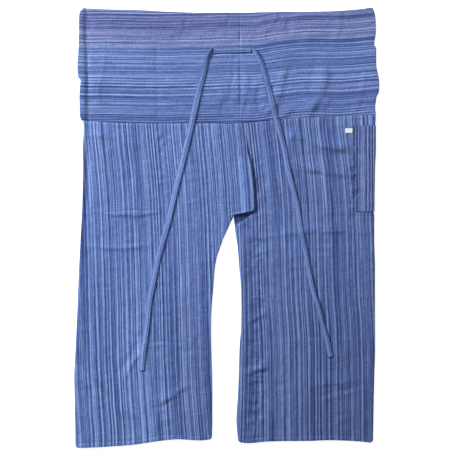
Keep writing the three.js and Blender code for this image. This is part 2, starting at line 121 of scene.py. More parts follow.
creases = {
    "large": [
        (-235, 32, 170, 13, 2, 1.5), (-240, -42, 150, 13, -1, 1.3), (-262, 198, 110, 14, -12, 1.2),
        (205, 188, 130, 17, -12, 3.4), (212, 128, 130, 16, -14, 2.6), (190, -12, 220, 14, 3, 1.5),
        (112, 300, 110, 24, 62, 1.7), (205, 300, 120, 26, 72, 1.7), (160, 262, 90, 16, 20, 1.6),
        (-266, -372, 150, 17, -42, 2.2), (-120, -372, 70, 13, 22, 1.4), (62, -200, 70, 13, 8, 1.5),
        (62, -320, 70, 13, 5, 1.5), (235, -350, 110, 13, 10, 1.4),
    ],
    "small": [
        # left leg
        (-225, 38, 150, 4.5, 2, -0.75), (-235, 22, 90, 5, -3, -0.4), (-262, -8, 42, 4, 32, -0.6),
        (-240, -36, 100, 5, 3, -0.7), (-183, 154, 24, 3, -14, -0.7), (-176, 70, 30, 3, -4, -0.5),
        (-222, -287, 130, 11, 60, -0.6), (-205, -300, 110, 9, 62, 0.8), (-139, -254, 66, 3, -3, -0.6),
        (-150, -263, 60, 6, 2, 0.5), (-67, -273, 50, 6, 2, -0.7), (-64, -249, 34, 3, 0, -0.5),
        (-71, -361, 52, 4, -1, -0.6), (-146, -397, 42, 6, 22, -0.8), (-132, -385, 50, 7, 20, 0.6),
        (-116, -465, 24, 4, 0, -0.6), (-286, -335, 90, 8, -38, -0.5), (-240, -420, 70, 9, -75, 0.7),
        (-70, 60, 70, 9, 10, 0.5), (-110, 130, 60, 9, -30, 0.4),
        # crotch pleat
        (20, 200, 26, 5, 12, -0.4), (24, 150, 30, 5, 4, -0.4), (22, 88, 40, 6, -2, -0.4),
        # right leg
        (209, 164, 70, 8, -4, -0.8), (222, 117, 95, 6, -6, -0.7), (221, -4, 96, 4, 3, -0.8),
        (105, -9, 40, 4, 2, -0.6), (198, -51, 66, 6, 3, -0.6), (166, -96, 60, 4, 0, -0.7),
        (54, -202, 46, 4, 6, -0.7), (54, -252, 46, 4, 2, -0.7), (56, -321, 40, 4, 0, -0.6),
        (54, -360, 40, 4, 2, -0.6), (55, -424, 46, 5, 6, -0.7), (116, -169, 76, 4, -4, -0.5),
        (205, -244, 52, 4, 0, -0.5), (229, -320, 66, 4, 1, -0.7), (240, -342, 50, 4, 2, -0.5),
        (247, -366, 80, 5, 15, -0.9), (250, -378, 80, 8, 14, 0.6), (310, 20, 40, 5, 4, 0.5),
        (150, 210, 60, 8, 60, 0.5), (262, 90, 50, 8, -20, 0.5), (110, 90, 50, 8, 8, 0.4),
        # waistband
        (-157, 325, 170, 8, 89, -0.4), (-96, 455, 60, 8, 82, -0.4), (2, 452, 50, 7, 86, -0.4),
        (104, 316, 60, 12, 74, -0.6), (128, 330, 50, 12, 66, -0.5), (190, 325, 90, 17, 84, -0.6),
        (70, 290, 60, 12, 84, -0.8), (180, 254, 50, 9, -20, -0.3), (-312, 440, 80, 11, 88, -1.1),
        (-308, 300, 90, 9, 88, -0.8), (10, 330, 120, 9, 86, -0.6), (48, 300, 90, 10, 84, -0.7),
        (-10, 270, 50, 9, 80, -0.6), (140, 455, 60, 12, 84, -0.6), (222, 272, 56, 12, 72, 0.5),
        (86, 272, 50, 7, 70, -0.6), (98, 452, 70, 9, 60, 0.6), (250, 455, 90, 12, 80, 0.5),
        (-280, 330, 120, 10, 84, 0.4), (-60, 300, 110, 12, 80, 0.4), (300, 300, 90, 10, 76, 0.5),
    ],
}

# Seams that pucker the cloth: (height, x) along the seam, reach across it, spacing and height of the
# puckers, seed.
puckers = [
    ([(-30, 68), (-139, 68), (-274, 71), (-345, 70), (-470, 66)], 12, 6, 0.5, 21),
    ([(60, 60), (-30, 60), (-139, 58), (-274, 58), (-345, 60), (-470, 58)], 22, 11, 0.55, 28),
    ([(150, 58), (100, 72), (30, 80)], 16, 9, 0.5, 29),
    ([(232, 284), (130, 286), (36, 287)], 8, 5, 0.65, 22),
    ([(232, 48), (200, 52), (150, 58)], 13, 7, 0.5, 23),
    ([(40, 36), (-28, 33), (-90, 42), (-474, 36)], 7, 8, 0.4, 24),
    ([(-30, -22), (-139, -42), (-300, -46), (-474, -46)], 7, 8, 0.45, 25),
    ([(230, -148), (160, -146), (80, -141)], 10, 6, 0.55, 26),
    ([(440, 29), (240, 29)], 9, 8, 0.3, 27),
]

crumple = {
    "cellX": 26, "cellY": 11, "height": 0.5, "fineX": 12, "fineY": 6, "fine": 0.22,
    "broad": 60, "broadHeight": 0.9,
}
creaseShape = {
    "ridge": 0.55, "ridgeShare": 0.75, "gain": 1.55, "steep": 0.55, "gentle": 1.3, "from": (-0.84, 0.53),
    "waver": 2.6, "waverShare": 0.22, "waverLeast": 0.8, "ripple": 9, "rippleHeight": 0.6,
    "unevenWaves": 3.7, "uneven": 0.3,
}
puckerShape = {"gain": 3, "fade": 12, "slant": 0.35, "slantLength": 19, "skew": 0.4, "cell": 1.1}
# The crease beside the left fold: depth below and above the height where it deepens, and a wide shallow one.
foldCrease = {
    "shallow": 1.5, "deep": 2.4, "width": 4.5, "deepens": -60, "over": 200,
    "wideDepth": 0.7, "wideWidth": 11, "wideOffset": 9, "fadesAt": -440, "fade": 80,
}


def creaseHeight(x, y):
    # each crease: height times exp(-(across / width) squared - (along / half length) to the fourth), uneven;
    # most of the height is in a narrower ridge on a broad low one, steeper on the side away from "from"
    shape = creaseShape
    total = np.zeros(np.broadcast(x, y).shape)
    for midX, midY, length, width, turn, height in creases["large"] + creases["small"]:
        c, s = np.cos(np.radians(turn)), np.sin(np.radians(turn))
        along = ((x - midX) * c + (y - midY) * s) / (length / 2)
        wave = (shape["waverShare"] * width + shape["waverLeast"]) * np.sin(along * shape["waver"] + midX)
        wave = wave + shape["rippleHeight"] * np.sin(along * shape["ripple"] + midY)
        across = ((y - midY) * c - (x - midX) * s - wave) / width
        facing = np.sign(height * (shape["from"][1] * c - shape["from"][0] * s))
        across = across / np.where(across * facing < 0, shape["steep"], shape["gentle"])
        uneven = 1 + shape["uneven"] * np.sin(along * shape["unevenWaves"] + midY)
        ridge = np.exp(-((across / shape["ridge"]) ** 2)) * shape["ridgeShare"]
        broad = np.exp(-across * across) * (1 - shape["ridgeShare"])
        total += height * shape["gain"] * uneven * (ridge + broad) * np.exp(-(along**4))
    return total


def puckerHeight(x, y):
    # random slanting waves along the seam, fading across it as exp(-(distance / reach) squared)
    shape = puckerShape
    total = np.zeros(np.broadcast(x, y).shape)
    for line, reach, spacing, height, seed in puckers:
        low, high = min(line)[0], max(line)[0]
        across = (x - readTable(line, y)) / reach
        inside = ease((y - low) / shape["fade"] + 0.5) * ease((high - y) / shape["fade"] + 0.5)
        slant = y + shape["slant"] * reach * across * np.sin(y / shape["slantLength"] + seed)
        waves = roughness(x + shape["skew"] * y, slant, reach * shape["cell"], spacing, seed)
        total += shape["gain"] * height * inside * waves * np.exp(-across * across)
    return total


def relief(x, y):
    x, y = np.broadcast_arrays(x, y)
    rough = crumple["height"] * roughness(x, y, crumple["cellX"], crumple["cellY"], 1)
    rough += crumple["fine"] * roughness(x, y, crumple["fineX"], crumple["fineY"], 2)
    rough += crumple["broadHeight"] * roughness(x, y, crumple["broad"], crumple["broad"], 3)
    line = foldCrease
    past = x - readTable(outline["leftCrease"], y)
    beside, wide = past / line["width"], (past - line["wideOffset"]) / line["wideWidth"]
    depth = mix(line["shallow"], line["deep"], ease((y - line["deepens"]) / line["over"]))
    leftLine = depth * np.exp(-beside * beside) + line["wideDepth"] * np.exp(-wide * wide)
    leftLine = -leftLine * ease((y - line["fadesAt"]) / line["fade"])
    return creaseHeight(x, y) + puckerHeight(x, y) + rough + leftLine


pocket = {
    "left": 282.3, "frontEdge": 228, "top": 228.8, "bottom": 36.8, "legClear": 3, "ramp": 13,
    "flat": (0.156, 0.192), "stripeStart": 295,
    "rows": ([228.8, 228.2, 227, 225, 222], (219, 46, 60), [43, 40.5, 38.5, 37.4, 36.8]),
    "columns": ([1, 0.98, 0.955, 0.93, 0.9, 0.87], (0.84, 0, 22)), "front": 22,
    # dips along the edge and along its stitches: depth, distance, width
    "edgeDips": [(0.35, 0, 1.4), (0.8, 3.2, 1.5)],
}


def pocketLift(x, y):
    # 1 where the pocket lies under the leg's front layer, easing to 0 outside it
    inX = ease((x - pocket["frontEdge"] + pocket["legClear"] + pocket["ramp"]) / pocket["ramp"])
    above = ease((pocket["top"] + pocket["ramp"] - y) / pocket["ramp"])
    below = ease((y - pocket["bottom"] + pocket["ramp"]) / pocket["ramp"])
    return inX * np.minimum(above, below)


def softFloor(z):
    # stays above the lowest level, easing on to it: lowest + (z - lowest) averaged with its own smooth size
    above = z - cloth["lowest"]
    return cloth["lowest"] + (above + np.sqrt(above * above + cloth["lowestBlend"])) / 2


def backHeight(x, y, sideDistance):
    # flat layer, plus a swell towards the fold, plus creases
    swell = cloth["foldHeight"] * np.exp(-((sideDistance / cloth["foldReach"]) ** 2))
    swell = swell + cloth["loft"] * ease(sideDistance / cloth["loftReach"])
    lift = pocketLift(x, y) * cloth["stackStep"]
    return softFloor(cloth["backMiddle"] + swell + relief(x, y)) + lift


# Shallow dents of the front layer: depth, then length and width of their cells and the seed.
frontDents = [(0.25, (30, 14, 4)), (0.12, (12, 7, 5))]


def frontHeight(x, y):
    dents = sum(depth * (1 + roughness(x, y, *cells)) * 0.5 for depth, cells in frontDents)
    return cloth["frontMiddle"] + dents + pocketLift(x, y) * cloth["stackStep"]


# Every mesh goes through makeObject; clothWall gives a grid of middle points its thickness.


def makeObject(name, points, faces, uvs, material):
    # points in millimetres; uvs one per point, in metres of cloth
    mesh = bpy.data.meshes.new(name)
    mesh.from_pydata((points * mm).tolist(), [], faces)
    corners = np.zeros(len(mesh.loops), int)
    mesh.loops.foreach_get("vertex_index", corners)
    mesh.uv_layers.new(name="cloth").data.foreach_set("uv", uvs[corners].ravel())
    mesh.polygons.foreach_set("use_smooth", np.ones(len(mesh.polygons), bool))
    mesh.materials.append(material)
    mesh.update()
    made = bpy.data.objects.new(name, mesh)
    bpy.context.scene.collection.objects.link(made)
    return made


def clothWall(name, grid, uv, thickness, material):
    # wall of even thickness about a grid of middle points: rows run down, columns to the right on top
    rows, columns, _ = grid.shape
    along = np.gradient(grid, axis=1)
    run = np.hypot(along[..., 0], along[..., 2])
    normal = np.stack([-along[..., 2] / run, np.zeros_like(run), along[..., 0] / run], -1)
    outer, inner = grid + normal * thickness / 2, grid - normal * thickness / 2
    number = np.arange(rows * columns).reshape(rows, columns)
    under = number + rows * columns

    def quads(a, b, c, d):
        return np.stack([a.ravel(), b.ravel(), c.ravel(), d.ravel()], 1)

    faces = np.concatenate([
        quads(number[:-1, :-1], number[1:, :-1], number[1:, 1:], number[:-1, 1:]),
        quads(under[:-1, :-1], under[:-1, 1:], under[1:, 1:], under[1:, :-1]),
        quads(number[0, :-1], number[0, 1:], under[0, 1:], under[0, :-1]),
        quads(number[-1, :-1], under[-1, :-1], under[-1, 1:], number[-1, 1:]),
        quads(number[:-1, 0], under[:-1, 0], under[1:, 0], number[1:, 0]),
        quads(number[:-1, -1], number[1:, -1], under[1:, -1], under[:-1, -1]),
    ])
    points = np.concatenate([outer.reshape(-1, 3), inner.reshape(-1, 3)])
    points[:, 2] = np.maximum(points[:, 2], 0)
    uvs = np.concatenate([uv.reshape(-1, 2), uv.reshape(-1, 2)])
    made = makeObject(name, points, faces.tolist(), uvs, material)
    area = np.linalg.norm(np.cross(np.diff(grid, axis=0)[:, :-1], np.diff(grid, axis=1)[:-1]), axis=2).sum()
    print(f"{name}: {rows} x {columns}, {4 * rows * columns} triangles, cloth area {area * mm * mm:.4f} m2")
    return made, outer, normal


# Materials: threads and stripes follow the cloth's own coordinates, in metres of cloth.


def addNode(tree, kind, inputs=None, **settings):
    made = tree.nodes.new(kind)
    for name, value in settings.items():
        setattr(made, name, value)
    for name, value in (inputs or {}).items():
        if isinstance(value, bpy.types.NodeSocket):
            tree.links.new(value, made.inputs[name])
        else:
            made.inputs[name].default_value = value
    return made


def maths(tree, operation, *values):
    made = addNode(tree, "ShaderNodeMath", dict(enumerate(values)), operation=operation)
    return made.outputs[0]


def spread(tree, value, low, high, toLow=0.0, toHigh=1.0):
    ranges = {"Value": value, "From Min": low, "From Max": high, "To Min": toLow, "To Max": toHigh}
    return addNode(tree, "ShaderNodeMapRange", ranges).outputs[0]


def grain(tree, across, along, scaleX, scaleY, detail):
    # noise stretched by two scales, about 0
    place = addNode(tree, "ShaderNodeCombineXYZ", {"X": maths(tree, "MULTIPLY", across, scaleX)})
    tree.links.new(maths(tree, "MULTIPLY", along, scaleY), place.inputs["Y"])
    noise = addNode(tree, "ShaderNodeTexNoise", {"Vector": place.outputs[0], "Scale": 1.0, "Detail": detail},
                    noise_dimensions="2D")
    return maths(tree, "SUBTRACT", noise.outputs[0], 0.5)


def stripeTone(tree, across, stripes):
    # a colour ramp holds a few dozen stripes; several ramps follow each other across the cloth
    low, high, drawn = stripes["low"], stripes["high"], drawStripes(stripes)
    count = -(-len(drawn) // stripeRule["perRamp"])
    groups = np.array_split(np.arange(len(drawn)), count)
    limits = [low] + [(drawn[g[0]][0] + drawn[g[0] - 1][0]) / 2 for g in groups[1:]] + [high]
    turned = maths(tree, "SUBTRACT", across, low * mm)
    inRepeat = maths(tree, "FLOORED_MODULO", turned, (high - low) * mm)
    total = None
    for k, group in enumerate(groups):
        start, end = limits[k] - low, limits[k + 1] - low
        ramp = addNode(tree, "ShaderNodeValToRGB", {"Fac": spread(tree, inRepeat, start * mm, end * mm)})
        ramp.color_ramp.interpolation = "LINEAR"
        stops = ramp.color_ramp.elements
        stops[0].color = stops[1].color = (0.5, 0.5, 0.5, 1)
        for place, tone in [drawn[i] for i in group]:
            stop = stops.new((place - low - start) / (end - start))
            level = 0.5 + tone / 3
            stop.color = (level, level, level, 1)
        part = maths(tree, "SUBTRACT", ramp.outputs[0], 0.5)
        total = part if total is None else maths(tree, "ADD", total, part)
    return total


def addAll(tree, terms):
    total = 0.5
    for value, gain in terms:
        total = maths(tree, "MULTIPLY_ADD", value, gain, total)
    return total


# Irregular stripes: spacing of their middles and strength of their tone, drawn at random between two limits.
# A few strong ones have their place and tone given: from -1 (navy) to 1 (pale).
legStripes = {
    "low": -217, "high": 241, "seed": 11, "spacing": (2.3, 5.6), "strength": (0.1, 0.95), "strong": [],
}
# The waistband's stripes are measured up from the edge of its turned hem.
bandStripes = {
    "low": -180, "high": 90, "seed": 5, "spacing": (2.3, 4.4), "strength": (0.15, 0.9),
    "strong": [(-23, 0.9), (-20, -0.6), (-4, -0.8), (0, 1.1)],
}


stripeRule = {"faint": 1.4, "lastBefore": 2, "clear": 1.6, "perRamp": 26}


def drawStripes(stripes):
    # pale and navy in turn across the cloth; strength grows with a random number to a power: most are faint
    random = np.random.default_rng(stripes["seed"])
    most = int((stripes["high"] - stripes["low"]) / stripes["spacing"][0])
    places = stripes["low"] + np.cumsum(random.uniform(*stripes["spacing"], most))
    sizes = mix(*stripes["strength"], random.uniform(0, 1, most) ** stripeRule["faint"])
    tones = sizes * np.where(np.arange(most) % 2, -1, 1)
    clear = places < stripes["high"] - stripeRule["lastBefore"]
    for place, _ in stripes["strong"]:
        clear &= np.abs(places - place) > stripeRule["clear"]
    return sorted([*zip(places[clear].tolist(), tones[clear].tolist()), *stripes["strong"]])


dye = {
    "navy": (0.030, 0.052, 0.19),
    "deep": (0.070, 0.110, 0.32),
    "mid": (0.108, 0.172, 0.43),
    "pale": (0.185, 0.290, 0.60),
    "light": (0.300, 0.420, 0.74),
    # legShade: painted shade, partly the cloth's own duller dye; bandShade: painted light; lowerShade:
    # painted shade
    "legShade": (0.81, 0.80, 0.82),
    "bandShade": (1.04, 1.03, 1.04),
    "lowerShade": (0.72, 0.73, 0.75),
    "violet": (1.27, 1.01, 0.94),
    # inner: painted shade under the crotch flap and in the seam puckers, with the inner layer's darker wrong
    # side
    "inner": (0.3, 0.33, 0.45),
}
dyeSteps = {"deep": 0.27, "mid": 0.5, "pale": 0.75}
# Spans over which something goes from 0 to 1, or between the two levels given after them.
spans = {
    "paleThreads": (0.1, 0.26), "darkThreads": (-0.1, -0.26), "fading": (-0.2, 0.2, 0.45, 1.15),
    "leg": (-0.15, 0.34), "band": (-0.3, 0.02), "lowerLeg": (-0.05, -0.45), "towardsRight": (-0.22, 0.16),
    "turnedHem": (-0.001, 0.004), "hemPatches": (-0.2, 0.15, 0.75, 1.1),
}
# Noise in the cloth: scale across the stripes, scale along them (repeats in a metre), detail.
grains = {
    "wander": (5, 14, 1.0), "yarn": (460, 1.2, 1.0), "fine": (520, 12, 1.0), "slub": (560, 45, 2.0),
    "single": (370, 0.8, 1.0), "fading": (80, 9, 2.0), "crinkle": (90, 320, 2.0),
    "hemPatches": (14, 6, 2.0), "threads": (1500, 1500, 1.0),
}
surface = {
    "wander": 0.0018, "yarn": 0.8, "stripes": 0.25, "crinkle": 2.2, "strength": 0.6, "depth": 0.0005,
    "roughness": 0.92, "specular": 0.2, "sheen": 0.08, "sheenRoughness": 0.5,
}
weave = {
    "leg": {
        "stripes": 1.9, "soft": 0.75, "sharp": 1.2, "yarn": 1.5, "fine": 0.5, "slub": 0.35,
        "crinkle": 0.3, "pale": 0.55, "dark": -0.4,
    },
    "band": {
        "stripes": 2.1, "soft": 0.7, "sharp": 1.4, "yarn": 1.3, "fine": 0.4, "slub": 0.3,
        "crinkle": 0.3, "pale": 0.4, "dark": -0.35,
    },
}


def stain(tree, colour, by, amount):
    # the colour times another one, as far as the amount says
    mixed = addNode(tree, "ShaderNodeMix", {"Factor": amount}, data_type="RGBA", blend_type="MULTIPLY")
    tree.links.new(colour, mixed.inputs["A"])
    mixed.inputs["B"].default_value = (*by, 1)
    return mixed.outputs["Result"]


def clothMaterial(name, kind, tint, gain=1.0):
    share = weave[kind]
    material = bpy.data.materials.new(name)
    material.use_nodes = True
    tree = material.node_tree
    shader = tree.nodes["Principled BSDF"]
    uv = addNode(tree, "ShaderNodeUVMap", uv_map="cloth")
    parts = addNode(tree, "ShaderNodeSeparateXYZ", {"Vector": uv.outputs[0]})
    along = parts.outputs["Y"]
    wander = grain(tree, parts.outputs["X"], along, *grains["wander"])
    across = maths(tree, "MULTIPLY_ADD", wander, surface["wander"], parts.outputs["X"])
    stripes = stripeTone(tree, across, bandStripes if kind == "band" else legStripes)
    # strong stripes become narrower: tone times (soft + sharp times its size)
    strength = maths(tree, "MULTIPLY_ADD", maths(tree, "ABSOLUTE", stripes), share["sharp"], share["soft"])
    stripes = maths(tree, "MULTIPLY", stripes, strength)
    yarn, fine, slub, single, fading, crinkle = [
        grain(tree, across, along, *grains[name])
        for name in ("yarn", "fine", "slub", "single", "fading", "crinkle")
    ]
    # single pale and dark threads, where a narrow noise is high or low
    pale, dark = spread(tree, single, *spans["paleThreads"]), spread(tree, single, *spans["darkThreads"])
    stripes = maths(tree, "MULTIPLY", stripes, spread(tree, fading, *spans["fading"]))
    tone = addAll(tree, [
        (stripes, share["stripes"] * gain), (yarn, share["yarn"]), (fine, share["fine"]),
        (slub, share["slub"]), (crinkle, share["crinkle"]), (pale, share["pale"]), (dark, share["dark"]),
    ])
    ramp = addNode(tree, "ShaderNodeValToRGB", {"Fac": tone})
    stops = ramp.color_ramp.elements
    stops[0].color, stops[1].color = (*dye["navy"], 1), (*dye["light"], 1)
    for name, place in dyeSteps.items():
        stops.new(place).color = (*dye[name], 1)
    # painted shade, partly the cloth's own dye: the legs turn grey and dark to the right and darker still in
    # their lower right; the band is painted lighter to the right
    coordinates = addNode(tree, "ShaderNodeTexCoord")
    place = addNode(tree, "ShaderNodeSeparateXYZ", {"Vector": coordinates.outputs["Object"]})
    paintedSideLighting = spread(tree, place.outputs["X"], *spans[kind])
    colour = stain(tree, ramp.outputs[0], dye[kind + "Shade"], paintedSideLighting)
    lower = spread(tree, place.outputs["Y"], *spans["lowerLeg"])
    lower = maths(tree, "MULTIPLY", lower, spread(tree, place.outputs["X"], *spans["towardsRight"]))
    colour = stain(tree, colour, dye["lowerShade"], lower)
    if kind == "band":
        hem = spread(tree, parts.outputs["X"], *spans["turnedHem"])
        patches = spread(tree, grain(tree, across, along, *grains["hemPatches"]), *spans["hemPatches"])
        colour = stain(tree, colour, dye["violet"], maths(tree, "MULTIPLY", hem, patches))
    else:
        # painted shade: darker where the shaded attribute is set, under the crotch flap and in the seam
        # puckers
        shaded = addNode(tree, "ShaderNodeAttribute", attribute_name="shaded")
        colour = stain(tree, colour, dye["inner"], shaded.outputs["Fac"])
    tree.links.new(stain(tree, colour, tint, 1.0), shader.inputs["Base Color"])
    threads = grain(tree, across, along, *grains["threads"])
    threads = maths(tree, "ADD", threads, maths(tree, "MULTIPLY", yarn, surface["yarn"]))
    height = maths(tree, "MULTIPLY_ADD", stripes, surface["stripes"], maths(tree, "ADD", threads, slub))
    height = maths(tree, "MULTIPLY_ADD", crinkle, surface["crinkle"], height)
    relief = {"Height": height, "Strength": surface["strength"], "Distance": surface["depth"]}
    tree.links.new(addNode(tree, "ShaderNodeBump", relief).outputs[0], shader.inputs["Normal"])
    shader.inputs["Roughness"].default_value = surface["roughness"]
    shader.inputs["Specular IOR Level"].default_value = surface["specular"]
    shader.inputs["Sheen Weight"].default_value = surface["sheen"]
    shader.inputs["Sheen Roughness"].default_value = surface["sheenRoughness"]
    return material


plain = {"detail": 3.0, "from": 0.3, "to": 0.7, "darker": 0.82, "paler": 1.1, "depth": 0.0002}


def plainMaterial(name, colour, rough, noiseScale, bumpStrength):
    material = bpy.data.materials.new(name)
    material.use_nodes = True
    tree = material.node_tree
    shader = tree.nodes["Principled BSDF"]
    coordinates = addNode(tree, "ShaderNodeTexCoord")
    pattern = {"Vector": coordinates.outputs["Object"], "Scale": noiseScale, "Detail": plain["detail"]}
    noise = addNode(tree, "ShaderNodeTexNoise", pattern)
    ramp = addNode(tree, "ShaderNodeValToRGB", {"Fac": noise.outputs[0]})
    stops = ramp.color_ramp.elements
    stops[0].position, stops[1].position = plain["from"], plain["to"]
    stops[0].color = (*[c * plain["darker"] for c in colour], 1)
    stops[1].color = (*[min(c * plain["paler"], 1) for c in colour], 1)
    tree.links.new(ramp.outputs[0], shader.inputs["Base Color"])
    relief = {"Height": noise.outputs[0], "Strength": bumpStrength, "Distance": plain["depth"]}
    tree.links.new(addNode(tree, "ShaderNodeBump", relief).outputs[0], shader.inputs["Normal"])
    shader.inputs["Roughness"].default_value = rough
    return material


legCloth = clothMaterial("legCloth", "leg", (0.96, 0.985, 1.01))
bandCloth = clothMaterial("bandCloth", "band", (0.94, 0.935, 0.95))
pocketCloth = clothMaterial("pocketCloth", "leg", (1.03, 1.0, 0.99), 1.6)
tieCloth = clothMaterial("tieCloth", "leg", (0.96, 0.97, 1.02))
bridgeCloth = clothMaterial("bridgeCloth", "leg", (0.96, 1.0, 1.0))
labelTape = plainMaterial("labelTape", (0.82, 0.95, 0.98), 0.7, 900, 0.4)
threadNavy = plainMaterial("threadNavy", (0.040, 0.062, 0.20), 0.8, 1500, 0.5)
print("materials made")

# Camera: straight above, framed as the photograph is.

view = {"x": 0.00726, "y": -0.00468, "height": 1.4341, "lens": 50, "sensor": 36}
cameraData = bpy.data.cameras.new("camera")
cameraData.lens = view["lens"]
cameraData.sensor_width = view["sensor"]
camera = bpy.data.objects.new("camera", cameraData)
camera.location = (view["x"], view["y"], view["height"])
bpy.context.scene.collection.objects.link(camera)
bpy.context.scene.camera = camera

# Ties: flat sewn strips; routes in metres, rolls in degrees and widths in millimetres along them.

tieLeft = {
    "route": [
        (-0.0357, 0.4032, 0.0047), (-0.042, 0.385, 0.0047), (-0.0497, 0.3539, 0.0047),
        (-0.0636, 0.3022, 0.0047), (-0.077, 0.2417, 0.0047), (-0.0913, 0.179, 0.0047),
        (-0.1092, 0.1073, 0.0047), (-0.1195, 0.0625, 0.0047), (-0.1294, 0.02, 0.0047),
        (-0.1374, -0.0092, 0.0047), (-0.1448, -0.0374, 0.0047), (-0.153, -0.066, 0.0047),
        (-0.1592, -0.0947, 0.0047), (-0.1652, -0.1234, 0.0047), (-0.1706, -0.1518, 0.0047),
        (-0.1744, -0.1771, 0.0047), (-0.1767, -0.2034, 0.0047), (-0.1796, -0.229, 0.0047),
        (-0.1832, -0.2547, 0.0047), (-0.1868, -0.28, 0.0047), (-0.1898, -0.319, 0.0047),
    ],
    "roll": [(0, 40), (20, 24), (50, 6), (90, 0), (300, -3), (470, 1), (600, -3), (740, 0)],
    "width": [(0, 4), (14, 7.5), (60, 11.5), (120, 13.6), (500, 13), (740, 13.4)],
    "length": 0.743,
    "cutAt": 0.107,
}
tieRight = {
    "route": [
        (0.0606, 0.4032, 0.0047), (0.069, 0.385, 0.0047), (0.0805, 0.3604, 0.0047),
        (0.0924, 0.3156, 0.0062), (0.0986, 0.29, 0.0069), (0.1036, 0.27, 0.0062),
        (0.108, 0.2529, 0.0052), (0.1275, 0.1812, 0.0054), (0.1345, 0.1387, 0.0052),
        (0.1473, 0.0894, 0.0047), (0.1568, 0.0536, 0.0047), (0.1614, 0.02, 0.0049),
        (0.1665, -0.0092, 0.0062), (0.1745, -0.045, 0.0049), (0.1808, -0.0808, 0.0047),
        (0.1887, -0.1234, 0.0047), (0.1963, -0.1525, 0.0047), (0.2028, -0.1704, 0.0047),
        (0.2111, -0.203, 0.0047), (0.2183, -0.23, 0.0047), (0.2261, -0.2572, 0.0047),
        (0.2325, -0.2885, 0.0047),
    ],
    "roll": [(0, -30), (24, -14), (60, 4), (140, 1), (300, -3), (440, 1), (560, -8), (640, 1), (720, 0)],
    "width": [(0, 5), (14, 9), (60, 11.5), (120, 12.5), (440, 12), (560, 10.5), (640, 12), (700, 13),
              (715, 14)],
    "length": 0.715,
    "cutAt": 0.107,
}
strip = {
    "thickness": 1.5, "stations": 320, "corners": 20, "clear": 0.1, "width": 13, "roundAcross": 0.75,
    "roundUp": 0.6, "thicker": 1.2, "thickerOver": 40, "smooth": 13, "lean": 0.8, "narrowOver": 60,
}
farFromFold = 1000.0  # far from any fold, where the cloth has no swell


def surfaceTop(x, y):
    return backHeight(x, y, farFromFold) + cloth["thickness"] / 2


def smoothRoute(points, count):
    # Catmull-Rom curve: a cubic between each pair of points whose slopes join the points beside them
    p = np.array(points, float)
    ends = np.concatenate([[2 * p[0] - p[1]], p, [2 * p[-1] - p[-2]]])
    t = np.linspace(0, len(p) - 1 - 1e-9, count)
    i = np.floor(t).astype(int)
    f = (t - i)[:, None]
    a, b, c, d = ends[i], ends[i + 1], ends[i + 2], ends[i + 3]
    curve = 0.5 * (2 * b + (c - a) * f + (2 * a - 5 * b + 4 * c - d) * f**2 + (3 * b - a - 3 * c + d) * f**3)
    steps = np.concatenate([[0], np.cumsum(np.linalg.norm(np.diff(curve, axis=0), axis=1))])
    even = np.linspace(0, steps[-1], count)
    return np.stack([np.interp(even, steps, curve[:, k]) for k in range(3)], 1), even


def stripTube(name, centre, station, width, thickness, roll, material, cutAt):
    # flat superellipse carried along a path; its long axis lies across the path and is rolled about it
    rows, corners = len(centre), strip["corners"]
    tangent = np.gradient(centre, axis=0)
    tangent /= np.linalg.norm(tangent, axis=1)[:, None]
    across = np.cross(tangent, (0, 0, 1))
    across /= np.linalg.norm(across, axis=1)[:, None]
    up = np.cross(across, tangent)
    c, s = np.cos(roll)[:, None], np.sin(roll)[:, None]
    flat, thin = across * c + up * s, up * c - across * s
    angle = np.linspace(0, 2 * np.pi, corners, endpoint=False)
    wide = np.sign(np.cos(angle)) * np.abs(np.cos(angle)) ** strip["roundAcross"]
    tall = np.sign(np.sin(angle)) * np.abs(np.sin(angle)) ** strip["roundUp"]
    ring = (centre[:, None] + flat[:, None] * (wide[None, :, None] * width[:, None, None] / 2)
            + thin[:, None] * (tall[None, :, None] * thickness[:, None, None] / 2))
    number = np.arange(rows * corners).reshape(rows, corners)
    following = np.roll(number, -1, axis=1)
    sides = np.stack([number[:-1], number[1:], following[1:], following[:-1]], -1).reshape(-1, 4)
    first, last = rows * corners, rows * corners + 1
    caps = np.concatenate([
        np.stack([number[0], following[0], np.full(corners, first)], 1),
        np.stack([following[-1], number[-1], np.full(corners, last)], 1),
    ])
    points = np.concatenate([ring.reshape(-1, 3), centre[:1], centre[-1:]])
    across = np.tile(wide * (strip["width"] / 2 * mm), (rows, 1)) + cutAt
    uv = np.stack([across, np.repeat(station[:, None] * mm, corners, 1)], -1)
    uvs = np.concatenate([uv.reshape(-1, 2), [[cutAt, 0], [cutAt, station[-1] * mm]]])
    return makeObject(name, points, sides.tolist() + caps.tolist(), uvs, material)


